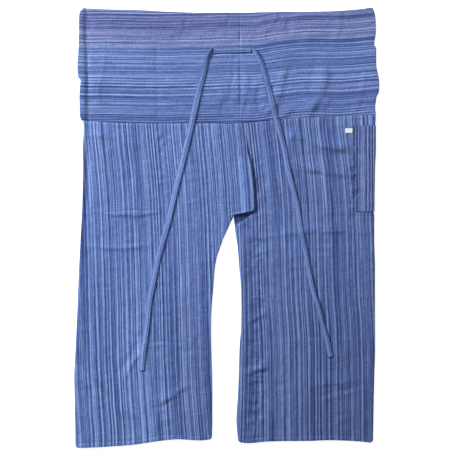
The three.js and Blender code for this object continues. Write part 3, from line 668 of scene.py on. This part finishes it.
def makeTie(name, tie):
    centre, station = smoothRoute(np.array(tie["route"]) / mm, strip["stations"])
    width = readTable(tie["width"], station)
    roll = np.radians(readTable(tie["roll"], station))
    thickness = strip["thickness"] + strip["thicker"] * ease(1 - station / strip["thickerOver"])
    half = width / 2
    tangent = np.gradient(centre[:, :2], axis=0)
    tangent /= np.linalg.norm(tangent, axis=1)[:, None]
    side = np.stack([tangent[:, 1], -tangent[:, 0]], 1)
    spots = [centre[:, :2] + side * (half * k)[:, None] for k in (-1, -0.5, 0, 0.5, 1)]
    under = np.max([surfaceTop(p[:, 0], p[:, 1]) for p in spots], axis=0)
    kernel = np.hanning(strip["smooth"]) / np.hanning(strip["smooth"]).sum()
    under = np.convolve(np.pad(under, strip["smooth"] // 2, mode="edge"), kernel, "valid")
    rolled = thickness / 2 * np.cos(roll) + half * np.abs(np.sin(roll)) * strip["lean"]
    centre[:, 2] = under + strip["clear"] + rolled
    # at the bridge the narrow end keeps to the inner edge of the strip
    inward = -1 if name == "tieLeft" else 1
    narrower = (strip["width"] / 2 - half) * ease(1 - station / strip["narrowOver"])
    centre[:, :2] += side * (inward * narrower)[:, None]
    made = stripTube(name, centre, station, width, thickness, roll, tieCloth, tie["cutAt"])
    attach(made, "root")
    return made, station[-1]


tieLeftPiece, tieLeftLength = makeTie("tieLeft", tieLeft)
tieRightPiece, tieRightLength = makeTie("tieRight", tieRight)
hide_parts("tie_left")
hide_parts("tie_right")
print(f"ties made, {tieLeftLength:.0f} and {tieRightLength:.0f} mm long")

# Legs: back edge rows are (at, x, y, z, turn, tail), as in the solids.

leftLeg = {
    "out": -1, "sideAtSeam": -323, "sideAtHem": -339,
    "hem": [
        (-340, -492.6), (-264, -489.5), (-218, -486.4), (-131, -474.6), (-107, -473), (-64, -475.4),
        (-33, -473.5),
    ],
    "sides": [
        (253, -325), (223, -321.2), (178, -322.6), (133, -322.4), (44, -324.6), (-23, -328),
        (-91, -331.3), (-180, -334.6), (-270, -339), (-330, -341.8), (-404, -340.4), (-492, -339.4),
    ],
    "insides": [
        (240, 15.1), (27, 15.1), (12, 8.5), (-2, 2.4), (-24, -7.7), (-46, -15.6), (-68, -22.8),
        (-91, -26.8), (-135, -30.2), (-180, -33.9), (-225, -35.2), (-270, -34.5), (-360, -32.2),
        (-404, -32.5), (-430, -32.4), (-478, -33.3),
    ],
    "backEdge": [
        (241, 43.9, 235, 4, 180, 2), (217, 44.4, 213, 4.05, 180, 2), (200, 45, 199, 4.1, 180, 2),
        (170, 47.5, 170, 4.6, 180, 4), (130, 56, 130, 5.9, 180, 10), (84, 61, 84, 5.9, 180, 12),
        (51, 62, 52, 5.9, 180, 12), (38, 60.3, 39.6, 5.9, 180, 10), (30, 38, 33.6, 5.4, 180, 6),
        (22, 26, 30.8, 4.8, 180, 3), (14, 15.1, 26.6, 4, 180, 2), (2, 7, 10, 4, 180, 2),
        (-12, -3, -14, 4, 180, 2),
    ],
    # how far the stripes have moved to the right at each height, against their places at -140
    "drift": [(235, -22), (40, -6), (-140, 0), (-300, 4), (-470, 15)],
    "innerDrift": [(240, 0), (-480, 0)],
    "stripeStart": -180, "stripeWay": 1, "outerCorner": 7, "innerCorner": 7,
    "flat": (0.72, 0.74), "area": 0.468,
}
rightLeg = {
    "out": 1, "sideAtSeam": 333, "sideAtHem": 328,
    "hem": [
        (25, -479.8), (48, -481.5), (93, -478), (183, -476.4), (230, -475), (295, -477.8),
        (328, -480.6),
    ],
    "sides": [
        (253, 333.7), (223, 333.8), (178, 333.8), (133, 332), (44, 330.8), (-23, 330.4), (-91, 332),
        (-180, 332), (-270, 332.4), (-330, 330.6), (-404, 328.9), (-492, 327.6),
    ],
    "insides": [
        (240, 15.5), (27, 15.5), (12, 17), (-2, 18.3), (-24, 21.2), (-46, 24.6), (-68, 26),
        (-91, 27.6), (-135, 31.2), (-180, 32), (-225, 31.4), (-270, 28.2), (-360, 25.4), (-404, 22.7),
        (-430, 21.2), (-478, 25),
    ],
    "backEdge": [
        (253, 44.3, 235.2, 3.4, 3, 2), (241, 44.6, 224, 3.6, 3, 2), (229, 45, 213, 3.6, 3, 2),
        (205, 45.4, 199, 3.4, 3, 2), (170, 41, 168, 2.3, 3, 2), (130, 43, 130, 2.6, 3, 2),
        (84, 46, 84, 2.6, 3, 2), (52, 54, 53, 2.6, 3, 2), (37, 59.7, 38.6, 2.6, 3, 2),
        (25, 47.1, 23.8, 3.9, 75, 0.5), (14, 33, 13, 4, 180, 2), (4, 22.5, 4.5, 4, 180, 2),
        (-10, 20, -11, 4, 180, 2),
    ],
    "drift": [(235, -24), (50, -6), (-140, 0), (-270, 7), (-470, 9)],
    "innerDrift": [(-140, 0), (-270, -5), (-470, -12)],
    "stripeStart": 110, "stripeWay": -1, "outerCorner": 7, "innerCorner": 5,
    "flat": (0.63, 0.74), "area": 0.441,
}
legGridding = {
    "nearSeam": [0, 0.7, 1.5, 2.6, 4, 6], "upper": (60, 58), "crotch": (58.5, 2, 38), "lower": (-1, 152),
    "nearHem": [12, 11, 10.4, 9.8, 9.2, 8, 6, 4, 2.4, 1.2, 0.5, 0], "belowSeam": 9, "aboveHem": 14,
    "fromEdge": [1, 2.2, 4, 6.5, 10, 15, 21, 28], "fromSide": [30, 23, 17, 12, 8, 5, 2.5],
    "middle": 92, "front": 42, "foldAngles": [78, 60, 40, 20, 0, -20, -40, -60, -78],
    "rollParts": 7, "bendReach": 110, "joinLength": 60, "innerFrom": 55, "innerFade": 25,
    "hemDepth": 10, "hemLift": 0.7, "hemStep": 1.4, "hemGroove": 0.9, "grooveWidth": 1.1,
    "seamDip": 1.5, "seamDipWidth": 2.6, "flapOver": 4, "flapRamp": 1.2, "flapExtra": 0.4,
}


def foldArc(out, sideX, sideY, backZ, frontZ, angles):
    # half circle from the back layer round to the front layer
    radius = (backZ - frontZ) / 2
    centreX = sideX - out * (cloth["thickness"] / 2 + radius)
    turn = np.radians(np.array(angles))[None]
    x = centreX[:, None] + out * radius[:, None] * np.cos(turn)
    z = (frontZ + radius)[:, None] + radius[:, None] * np.sin(turn)
    return np.stack([x, np.broadcast_to(sideY[:, None], x.shape), z], -1)


def cornerInset(y, hem, size):
    # quarter circle: size less the root of size squared less the part below the corner's start squared
    past = np.clip(size - (y - hem), 0, size)
    return size - np.sqrt(size * size - past * past)


def legGrid(leg):
    # rows run down from the waist seam, columns from the rolled back edge over the top to the front
    g, out = legGridding, leg["out"]
    seam, hem = seamHeight(leg["sideAtSeam"]), readTable(leg["hem"], leg["sideAtHem"])
    at = np.concatenate([
        seam - np.array(g["nearSeam"]), np.linspace(seam - g["belowSeam"], *g["upper"]),
        np.linspace(*g["crotch"]), np.linspace(g["lower"][0], hem + g["aboveHem"], g["lower"][1]),
        hem + np.array(g["nearHem"]),
    ])
    down = np.maximum((seam - at) / (seam - hem), 0)[:, None]

    def rowY(x):
        return mix(seamHeight(x), readTable(leg["hem"], x), down)

    zero = np.zeros((len(at), 1))
    edge = {name: readTable([(row[0], row[k + 1]) for row in leg["backEdge"]], at)
            for k, name in enumerate(("x", "y", "z", "turn", "tail"))}
    insideX = readTable(leg["insides"], rowY(zero)[:, 0])
    insideX = insideX + out * cornerInset(rowY(zero)[:, 0], readTable(leg["hem"], 0), leg["innerCorner"])
    insideY = rowY(insideX[:, None])[:, 0]
    # below the crotch the edge is the inside leg, joined on over a short length
    last = leg["backEdge"][-1]
    below = at < last[0]
    joined = ease(1 - (last[0] - at) / g["joinLength"])
    flap = ease((edge["z"] - g["flapOver"]) / g["flapRamp"])
    edge["z"] = edge["z"] + (cloth["loft"] + g["flapExtra"]) * flap
    edge["x"] = np.where(below, insideX + (last[1] - np.interp(-last[0], -at, insideX)) * joined, edge["x"])
    edge["y"] = np.where(below, insideY + (last[2] - np.interp(-last[0], -at, insideY)) * joined, edge["y"])
    edge = {name: values[:, None] for name, values in edge.items()}
    turn = np.radians(edge["turn"])
    radius = cloth["edgeCurl"] / turn
    part = np.linspace(1, 0, g["rollParts"] + 1)[None, :-1]
    rollAcross, rollDrop = -radius * np.sin(turn * part), radius * (1 - np.cos(turn * part))
    share = np.array([[1, 0.5]])
    tailAcross = rollAcross[:, :1] - edge["tail"] * np.cos(turn) * share
    tailDrop = rollDrop[:, :1] + edge["tail"] * np.sin(turn) * share
    across, drop = np.hstack([tailAcross, rollAcross]), np.hstack([tailDrop, rollDrop])
    reach = np.maximum((-across).max(1, keepdims=True), 0) + cloth["thickness"] / 2 * np.sin(turn / 2)
    startX = edge["x"] + out * reach

    sideY = rowY(np.full((1, 1), float(leg["sideAtSeam"])))[:, 0]
    inset = pocketLift(333.0, sideY) * cloth["stackStep"] if out > 0 else 0
    sideX = readTable(leg["sides"], sideY) - out * inset - out * cornerInset(sideY, hem, leg["outerCorner"])
    backSide, frontSide = backHeight(sideX, sideY, 0), frontHeight(sideX, sideY)
    foldX = (sideX - out * (cloth["thickness"] + backSide - frontSide) / 2)[:, None]

    span = np.abs(foldX - startX)
    firstMiddle, lastMiddle = g["fromEdge"][-1], g["fromSide"][0]
    middle = firstMiddle + (span - firstMiddle - lastMiddle) * np.linspace(0, 1, g["middle"] + 2)[None, 1:-1]
    distance = np.hstack([zero, zero + g["fromEdge"], middle, span - g["fromSide"], span])
    x = startX + out * distance
    lift = (edge["y"] - rowY(edge["x"])) * ease(1 - (np.abs(x - edge["x"]) - reach) / g["bendReach"])
    y = rowY(x) + lift
    raised = 1 - ease((distance - edge["tail"] - 1) / cloth["edgeRamp"])
    z = mix(backHeight(x, y, span - distance), edge["z"] + 0.5 * relief(x, y) * (1 - raised), raised)
    toHem = y - readTable(leg["hem"], x)
    aboveTurn = toHem - g["hemDepth"]
    groove = g["hemGroove"] * np.exp(-(aboveTurn / g["grooveWidth"]) ** 2)
    z += g["hemLift"] * (1 - ease(aboveTurn / g["hemStep"])) - groove
    z -= g["seamDip"] * (1 - raised) * np.exp(-((seamHeight(x) - y) / g["seamDipWidth"]) ** 2)
    top = np.stack([x, y, z], -1)
    rollX = startX + out * across
    roll = np.stack([rollX, np.broadcast_to(edge["y"], rollX.shape), z[:, :1] - drop], -1)
    fold = foldArc(out, sideX, sideY, z[:, -1], frontSide, g["foldAngles"])
    frontEdge = insideX[:, None]
    frontX = foldX - out * np.abs(foldX - frontEdge) * np.linspace(0, 1, g["front"])[None]
    front = np.stack([frontX, rowY(frontX), frontHeight(frontX, rowY(frontX))], -1)
    front[:, 0, 2] = frontSide
    grid = np.concatenate([roll, top, fold, front], 1)

    # cloth coordinates: across the stripes by length of cloth, along them by height
    steps = np.hypot(*np.moveaxis(np.diff(grid[..., [0, 2]], axis=1), -1, 0))
    length = np.concatenate([zero, np.cumsum(steps, axis=1)], 1)
    first = roll.shape[1]
    lastTop = first + top.shape[1] - 1
    u = startX + out * (length - length[:, first:first + 1])
    u[:, first:lastTop + 1] = x
    u[:, lastTop + 1:] = foldX + out * (length - length[:, lastTop:lastTop + 1])[:, lastTop + 1:]
    height = grid[..., 1]
    drift = readTable(leg["drift"], height)
    inner = 1 - ease((u - g["innerFrom"]) / g["innerFade"])
    drift = drift + readTable(leg["innerDrift"], height) * inner
    return grid, np.stack([(u - drift - leg["stripeStart"]) * leg["stripeWay"], height], -1) * mm


# The inner layer below the crotch flap, its wrong side darker and the flap's shadow on it painted in: its
# lower border starts at a point, slopes, and bends up.
shadedInnerLayer = {
    "x": 18.5, "y": 8, "slope": 0.45, "bendFrom": 36, "bend": 0.012, "soft": 3, "below": 1,
    "right": 68, "rightFade": 8, "top": 60, "topFade": 20,
}
# Painted shade in patches where seams pucker: cells' sizes and seeds; middle x, width, end and fade of the
# two places.
puckerShadeBlotches = {
    "coarse": (13, 8, 31), "fine": (6, 4, 32), "fineShare": 0.6, "strength": 0.42, "depth": 0.8,
    "seam": (58, 17, 190, 40), "pocket": (284, 7, 30, 15),
}


def darkPatch(grid):
    # 1 where the inner layer shows below the crotch flap, 0 elsewhere: painted shadow of the flap, with the
    # darker wrong side of the cloth
    x, y, p = grid[..., 0], grid[..., 1], shadedInnerLayer
    border = p["y"] + p["slope"] * (x - p["x"]) + p["bend"] * np.maximum(x - p["bendFrom"], 0) ** 2
    within = ease((p["right"] - x) / p["rightFade"]) * ease((p["top"] - y) / p["topFade"])
    return ease((y - border + p["below"]) / p["soft"]) * within


def puckerShadePatch(grid):
    # patches of painted shade where the inside-leg seam puckers the right leg and beside the pocket
    x, y, p = grid[..., 0], grid[..., 1], puckerShadeBlotches
    blotch = np.maximum(roughness(x, y, *p["coarse"]) + p["fineShare"] * roughness(x, y, *p["fine"]), 0)
    middle, width, end, fade = p["seam"]
    besideSeam = np.exp(-(((x - middle) / width) ** 2)) * ease((end - y) / fade)
    middle, width, end, fade = p["pocket"]
    besidePocket = np.exp(-(((x - middle) / width) ** 2)) * ease((y - end) / fade)
    onTop = grid[..., 2] > cloth["backMiddle"] - p["depth"]
    return p["strength"] * blotch * np.maximum(besideSeam, besidePocket) * onTop


def makeLeg(name, leg):
    grid, uv = legGrid(leg)
    if leg["out"] < 0:
        grid, uv = grid[:, ::-1], uv[:, ::-1]
    made, outer, normal = clothWall(name, grid, uv, cloth["thickness"], legCloth)
    # painted shade under the crotch flap and in the puckers of the right leg, kept in the shaded attribute
    dark = np.zeros(grid.shape[0] * grid.shape[1])
    if leg["out"] > 0:
        dark = np.maximum(darkPatch(grid), puckerShadePatch(grid)).ravel()
    made.data.attributes.new("shaded", "FLOAT", "POINT").data.foreach_set("value", np.tile(dark, 2))
    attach(made, "root")
    return made, outer, normal


leftPiece, leftOuter, leftNormal = makeLeg("leftLegCloth", leftLeg)
rightPiece, rightOuter, rightNormal = makeLeg("rightLegCloth", rightLeg)
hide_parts("leg_left")
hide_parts("leg_right")
print("legs made")

# Waistband: one deep strip round both sides, with one seam at the centre back.

band = {
    "sides": [
        (240, -326, 333.6), (250, -329, 334.3), (268, -330, 332.7), (294, -330.4, 335.9),
        (304, -330, 340.6), (318, -329, 341.8), (330, -328, 341.4), (340, -333.8, 339.6),
        (366, -334.9, 335), (402, -332.6, 334.6), (411, -332.5, 330.4), (438, -331.6, 334),
        (465, -331.4, 333.4), (482, -330.2, 330.8), (492.6, -321.6, 327.1),
    ],
    "rows": 112, "rightColumns": 112, "leftColumns": 134, "frontColumns": 84,
    "turnedHemLift": 1.0, "turnedHemStep": 2.4, "hemDip": 0.45, "hemDipBelow": 3, "hemDipWidth": 1.8,
    "seamDip": 1.5, "seamDipWidth": 2.6, "backSeamDip": 1.0, "backSeamWidth": 1.6, "softSeam": 0.15,
    "trough": 0.9, "troughFrom": 240, "troughTo": 392, "troughOffset": 2, "troughWidth": 6,
    "crispFrom": 410, "crispTo": 446, "crispFades": (6, 12), "troughFades": (40, 14),
    "flat": (1.366, 0.25),
    "nearTop": [1, 0.998, 0.994, 0.988], "levels": (0.98, 0.03), "nearBottom": [0.022, 0.012, 0.005, 0],
    "nearSeam": [0, 0.003, 0.007, 0.013], "shares": (0.02, 0.93), "nearFold": (0.94, 1, 8),
}


def bandHeight(x, y, sideDistance):
    # back layer, plus the turned hem's step, less the dips at its seams
    z = backHeight(x, y, sideDistance)
    line = readTable(outline["turnedHem"], x)
    z = z + band["turnedHemLift"] * ease((y - line + 0.5) / band["turnedHemStep"])
    z = z - band["hemDip"] * np.exp(-((y - line + band["hemDipBelow"]) / band["hemDipWidth"]) ** 2)
    z = z - band["seamDip"] * np.exp(-((y - seamHeight(x)) / band["seamDipWidth"]) ** 2)
    # the seam at the centre back is crisp on the turned hem and lies in a soft trough below it
    soft, past = band["softSeam"], x - cloth["backSeam"]
    lower, upper = band["crispFades"]
    crisp = soft + (1 - soft) * ease((y - band["crispFrom"]) / lower) * ease((band["crispTo"] - y) / upper)
    lower, upper = band["troughFades"]
    trough = band["trough"] * ease((y - band["troughFrom"]) / lower) * ease((band["troughTo"] - y) / upper)
    trough = trough * np.exp(-((past - band["troughOffset"]) / band["troughWidth"]) ** 2)
    return z - band["backSeamDip"] * crisp * np.exp(-(past / band["backSeamWidth"]) ** 2) - trough


def bandGrid():
    # rows run down from the top edge; columns go from the centre back to the right, round the front and back
    levels = np.linspace(*band["levels"], band["rows"] - 8)
    level = np.concatenate([band["nearTop"], levels, band["nearBottom"]])

    def rowY(x):
        return mix(seamHeight(x) + cloth["seamGap"], readTable(outline["waistTop"], x), level[:, None])

    made = {}
    for out, column, count in ((1, 2, band["rightColumns"]), (-1, 1, band["leftColumns"])):
        side = rightLeg["sideAtSeam"] if out > 0 else leftLeg["sideAtSeam"]
        sideY = rowY(np.full((1, 1), float(side)))[:, 0]
        sideX = readTable([(row[0], row[column]) for row in band["sides"]], sideY)
        backZ = bandHeight(sideX, sideY, 0)
        frontZ = frontHeight(sideX, sideY)
        foldX = (sideX - out * (cloth["thickness"] + backZ - frontZ) / 2)[:, None]
        seamX = cloth["backSeam"] + out * cloth["backSeamGap"] / 2
        span = np.abs(foldX - seamX)
        shares = np.linspace(*band["shares"], count - 12)
        share = np.concatenate([band["nearSeam"], shares, np.linspace(*band["nearFold"])])
        x = seamX + out * span * share[None]
        y = rowY(x)
        back = np.stack([x, y, bandHeight(x, y, np.abs(foldX - x))], -1)
        fold = foldArc(out, sideX, sideY, back[:, -1, 2], frontZ, legGridding["foldAngles"])
        made[out] = (back, fold, foldX)
    frontX = mix(made[1][2], made[-1][2], np.linspace(0, 1, band["frontColumns"])[None])
    front = np.stack([frontX, rowY(frontX), frontHeight(frontX, rowY(frontX))], -1)
    grid = np.concatenate([made[1][0], made[1][1], front, made[-1][1][:, ::-1], made[-1][0][:, ::-1]], 1)
    x, y = grid[..., 0], grid[..., 1]
    return grid, np.stack([y - readTable(outline["turnedHem"], x), x], -1) * mm


bandMid, bandUv = bandGrid()
bandPiece, bandOuter, bandNormal = clothWall(
    "waistbandCloth", bandMid, bandUv, cloth["thickness"], bandCloth)
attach(bandPiece, "root")
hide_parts("waistband")
print("waistband made")

# Patch pocket round the right side fold.


def pocketGrid():
    # the leg's rows at the right fold, moved out by one layer
    leg, g = rightLeg, legGridding
    above, spaced, below = pocket["rows"]
    at = np.concatenate([above, np.linspace(*spaced), below])
    seam, hem = seamHeight(leg["sideAtSeam"]), readTable(leg["hem"], leg["sideAtHem"])
    down = ((seam - at) / (seam - hem))[:, None]

    def rowY(x):
        return mix(seamHeight(x), readTable(leg["hem"], x), down)

    sideY = rowY(np.full((1, 1), float(leg["sideAtSeam"])))[:, 0]
    sideX = readTable(leg["sides"], sideY)
    legZ = backHeight(sideX, sideY, 0)
    backZ = legZ + cloth["stackStep"]
    frontZ = np.full_like(backZ, cloth["frontMiddle"])
    foldX = (sideX - (cloth["thickness"] + backZ - frontZ) / 2)[:, None]
    nearEdge, others = pocket["columns"]
    x = mix(foldX, pocket["left"], np.concatenate([nearEdge, np.linspace(*others)])[None])
    y = rowY(x)
    dips = [(depth, (x - pocket["left"] - away) / width) for depth, away, width in pocket["edgeDips"]]
    z = backHeight(x, y, foldX - x) + cloth["stackStep"] - sum(d * np.exp(-(t**2)) for d, t in dips)
    back = np.stack([x, y, z], -1)
    fold = foldArc(1, sideX, sideY, z[:, -1], frontZ, g["foldAngles"])
    frontX = mix(foldX, pocket["frontEdge"], np.linspace(0, 1, pocket["front"])[None])
    front = np.stack([frontX, rowY(frontX), np.full_like(frontX, cloth["frontMiddle"])], -1)
    grid = np.concatenate([back, fold, front], 1)
    steps = np.hypot(*np.moveaxis(np.diff(grid[..., [0, 2]], axis=1), -1, 0))
    length = np.concatenate([np.zeros((len(at), 1)), np.cumsum(steps, axis=1)], 1)
    return grid, np.stack([pocket["left"] + length - pocket["stripeStart"], grid[..., 1]], -1) * mm


pocketMid, pocketUv = pocketGrid()
pocketPiece, pocketOuter, pocketNormal = clothWall(
    "pocketCloth", pocketMid, pocketUv, cloth["thickness"], pocketCloth)
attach(pocketPiece, "root")
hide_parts("pocket")

# Label: a small folded tape, sewn at its top and lifting at its lower edge.

label = {
    "left": 265.6, "right": 281.2, "bottom": 212.2, "top": 222.4, "thickness": 0.7, "lift": 0.15,
    "columns": 22, "rows": 16, "wave": 0.25, "waves": 0.9, "clear": 0.1, "foldAt": 328,
}


def labelGrid():
    # flat strip whose height grows with the square of the distance below its sewn edge
    down, x = np.meshgrid(
        np.linspace(0, 1, label["rows"]), np.linspace(label["left"], label["right"], label["columns"]),
        indexing="ij")
    y = mix(label["top"], label["bottom"], down) + label["wave"] * np.sin(x * label["waves"])
    under = (backHeight(x, y, label["foldAt"] - x) + cloth["thickness"] / 2).max()
    return np.stack([x, y, under + label["clear"] + label["thickness"] / 2 + label["lift"] * down**2], -1)


labelMid = labelGrid()
labelPiece = clothWall("labelTape", labelMid, labelMid[..., :2] * mm, label["thickness"], labelTape)[0]
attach(labelPiece, "root")
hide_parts("label")

# Bridge: the sewn middle of the tie.

bridge = {
    "left": -29.5, "right": 54.5, "middle": 397.4, "width": 11.4, "thickness": 1.7, "stations": 90,
    "wave": 0.4, "waves": 0.05, "clear": 0.1, "feel": (-5, -2, 0, 2, 5), "cutAt": 0.153,
    "stitchRows": (-4.2, 4.2),
}
bridgeX = np.linspace(bridge["left"], bridge["right"], bridge["stations"])
bridgeY = bridge["middle"] + bridge["wave"] * np.sin(bridgeX * bridge["waves"])
bridgeUnder = np.max([bandHeight(bridgeX, bridgeY + k, farFromFold) for k in bridge["feel"]], axis=0)
bridgeUnder = bridgeUnder + cloth["thickness"] / 2
bridgeLine = np.stack([bridgeX, bridgeY, bridgeUnder + bridge["thickness"] / 2 + bridge["clear"]], -1)
bridgeWidth, bridgeThickness, flatRoll = [
    np.full(bridge["stations"], value) for value in (bridge["width"], bridge["thickness"], 0.0)]
bridgePiece = stripTube(
    "tieBridgeCloth", bridgeLine, bridgeX - bridge["left"], bridgeWidth, bridgeThickness, flatRoll,
    bridgeCloth, bridge["cutAt"])
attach(bridgePiece, "root")
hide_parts("tie_bridge")
print("pocket, label and bridge made")

# Stitching: short thread stitches in rows.

stitch = {
    "spacing": 3.3, "length": 2.5, "width": 0.6, "sides": 6, "sink": 0.05, "around": 0.5,
    "aboveHem": 9.6, "aboveTurnedHem": 2.2, "aboveSeam": 3.2, "upper": 0.6, "smooth": 5,
}
# Where the rows run: x from and to, or for the pocket's side its x, then height from and to, and points.
stitchRuns = {
    "hemLeft": (-333, -36, 160), "hemRight": (30, 325, 160), "bandLeft": (-328, 28, 160),
    "bandRight": (31, 330, 160), "pocketAcross": (284.5, 330, 40), "pocketSideX": 284.6,
    "pocketSide": (226, 39, 80), "pocketAbove": 2.2, "pocketBelow": 9, "bridge": (-27, 52, 60),
}


def stitchRows(name, rows):
    # each stitch is a spindle: a six-sided ring at either end of its middle, and two tips
    starts, ways, ups = [], [], []
    for path, normal in rows:
        station = np.concatenate([[0], np.cumsum(np.linalg.norm(np.diff(path, axis=0), axis=1))])
        spots = np.arange(stitch["spacing"] / 2, station[-1], stitch["spacing"])
        place, ahead, behind, up = [
            np.stack([np.interp(spots + move, station, line[:, k]) for k in range(3)], 1)
            for line, move in ((path, 0), (path, stitch["around"]), (path, -stitch["around"]), (normal, 0))]
        way = (ahead - behind) / np.linalg.norm(ahead - behind, axis=1)[:, None]
        starts.append(place - up * stitch["sink"])
        ways.append(way)
        ups.append(up)
    place, way, up = np.concatenate(starts), np.concatenate(ways), np.concatenate(ups)
    side = np.cross(way, up)
    side /= np.linalg.norm(side, axis=1)[:, None]
    sides = stitch["sides"]
    angle = np.linspace(0, 2 * np.pi, sides, endpoint=False)
    ring = side[:, None] * np.cos(angle)[None, :, None] + up[:, None] * np.sin(angle)[None, :, None]
    ring = ring * stitch["width"] / 2
    half, inner = way[:, None] * stitch["length"] / 2, way[:, None] * stitch["length"] / 4
    place = place[:, None]
    points = np.concatenate([place - half, place - inner + ring, place + inner + ring, place + half], 1)
    k = np.arange(sides)
    following = (k + 1) % sides
    one = np.concatenate([
        np.stack([np.zeros(sides, int), 1 + k, 1 + following], 1),
        np.stack([1 + k, 1 + sides + k, 1 + sides + following], 1),
        np.stack([1 + k, 1 + sides + following, 1 + following], 1),
        np.stack([1 + sides + k, np.full(sides, 1 + 2 * sides), 1 + sides + following], 1),
    ])
    faces = (one[None] + (np.arange(len(place)) * points.shape[1])[:, None, None]).reshape(-1, 3)
    uvs = np.zeros((points.shape[0] * points.shape[1], 2))
    made = makeObject(name, points.reshape(-1, 3), faces.tolist(), uvs, threadNavy)
    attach(made, "root")
    print(f"{name}: {len(place)} stitches, {len(faces)} triangles")
    return made


def onTop(outer, normal, x, y):
    # nearest places of a grid's upper surface to a drawn line
    flat, up = outer.reshape(-1, 3), normal.reshape(-1, 3)
    upper = up[:, 2] > stitch["upper"]
    flat, up = flat[upper], up[upper]
    near = np.argmin((flat[:, 0][None] - x[:, None]) ** 2 + (flat[:, 1][None] - y[:, None]) ** 2, axis=1)
    count = stitch["smooth"]
    z = np.convolve(np.pad(flat[near, 2], count // 2, mode="edge"), np.ones(count) / count, "valid")
    return np.stack([x, y, z], 1), np.tile([0.0, 0.0, 1.0], (len(x), 1))


leftX, rightX = np.linspace(*stitchRuns["hemLeft"]), np.linspace(*stitchRuns["hemRight"])
hemRows = [
    onTop(leftOuter, leftNormal, leftX, readTable(leftLeg["hem"], leftX) + stitch["aboveHem"]),
    onTop(rightOuter, rightNormal, rightX, readTable(rightLeg["hem"], rightX) + stitch["aboveHem"]),
]
hemStitches = stitchRows("hemStitches", hemRows)
bandLeftX, bandRightX = np.linspace(*stitchRuns["bandLeft"]), np.linspace(*stitchRuns["bandRight"])
bandRows = [
    onTop(bandOuter, bandNormal, x, height(x))
    for height in (
        lambda x: readTable(outline["turnedHem"], x) + stitch["aboveTurnedHem"],
        lambda x: seamHeight(x) + stitch["aboveSeam"],
    )
    for x in (bandLeftX, bandRightX)
]
bandStitches = stitchRows("bandStitches", bandRows)
pocketSideY, pocketX = np.linspace(*stitchRuns["pocketSide"]), np.linspace(*stitchRuns["pocketAcross"])
pocketSideX = np.full(len(pocketSideY), stitchRuns["pocketSideX"])
pocketLow = np.full(len(pocketX), pocketOuter[-1, 4, 1] + stitchRuns["pocketAbove"])
pocketHigh = np.full(len(pocketX), pocketOuter[0, 4, 1] - stitchRuns["pocketBelow"])
pocketRows = [
    onTop(pocketOuter, pocketNormal, x, y)
    for x, y in ((pocketSideX, pocketSideY), (pocketX, pocketLow), (pocketX, pocketHigh))
]
pocketStitches = stitchRows("pocketStitches", pocketRows)
bridgePathX = np.linspace(*stitchRuns["bridge"])
bridgeTop = np.interp(bridgePathX, bridgeX, bridgeLine[:, 2]) + bridge["thickness"] / 2 - bridge["clear"]
bridgeUp = np.tile([0.0, 0, 1], (len(bridgePathX), 1))
bridgeRows = [
    (np.stack([bridgePathX, np.full(len(bridgePathX), bridge["middle"] + away), bridgeTop], 1), bridgeUp)
    for away in bridge["stitchRows"]
]
bridgeStitches = stitchRows("bridgeStitches", bridgeRows)

# Floor and light.

ground = {"reach": 6, "height": -0.0006, "grey": 0.93, "roughness": 0.9, "glow": 0.7}
floorMesh = bpy.data.meshes.new("floor")
floorCorners = [(x * ground["reach"], y * ground["reach"], ground["height"])
                for x, y in ((-1, -1), (1, -1), (1, 1), (-1, 1))]
floorMesh.from_pydata(floorCorners, [], [(0, 1, 2, 3)])
floor = bpy.data.objects.new("floor", floorMesh)
bpy.context.scene.collection.objects.link(floor)
floorPaint = bpy.data.materials.new("floorPaint")
floorPaint.use_nodes = True
floorShader = floorPaint.node_tree.nodes["Principled BSDF"]
floorShader.inputs["Base Color"].default_value = (*[ground["grey"]] * 3, 1)
floorShader.inputs["Roughness"].default_value = ground["roughness"]
floorShader.inputs["Specular IOR Level"].default_value = 0.0
floorShader.inputs["Emission Color"].default_value = (1, 1, 1, 1)
floorShader.inputs["Emission Strength"].default_value = ground["glow"]
floorMesh.materials.append(floorPaint)

light = {"sky": 0.35, "key": 304, "keyAt": (-3.3, 2.1, 1.56), "keySize": 0.84}
world = bpy.data.worlds.new("studio")
world.use_nodes = True
world.node_tree.nodes["Background"].inputs["Color"].default_value = (1, 1, 1, 1)
world.node_tree.nodes["Background"].inputs["Strength"].default_value = light["sky"]
bpy.context.scene.world = world
keyData = bpy.data.lights.new("keyLight", "AREA")
keyData.energy = light["key"]
keyData.size = light["keySize"]
keyLight = bpy.data.objects.new("keyLight", keyData)
keyLight.location = light["keyAt"]
keyLight.rotation_euler = (-Vector(light["keyAt"])).to_track_quat("-Z", "Y").to_euler()
bpy.context.scene.collection.objects.link(keyLight)
bpy.context.scene.view_settings.view_transform = "Standard"
print("floor and light made")
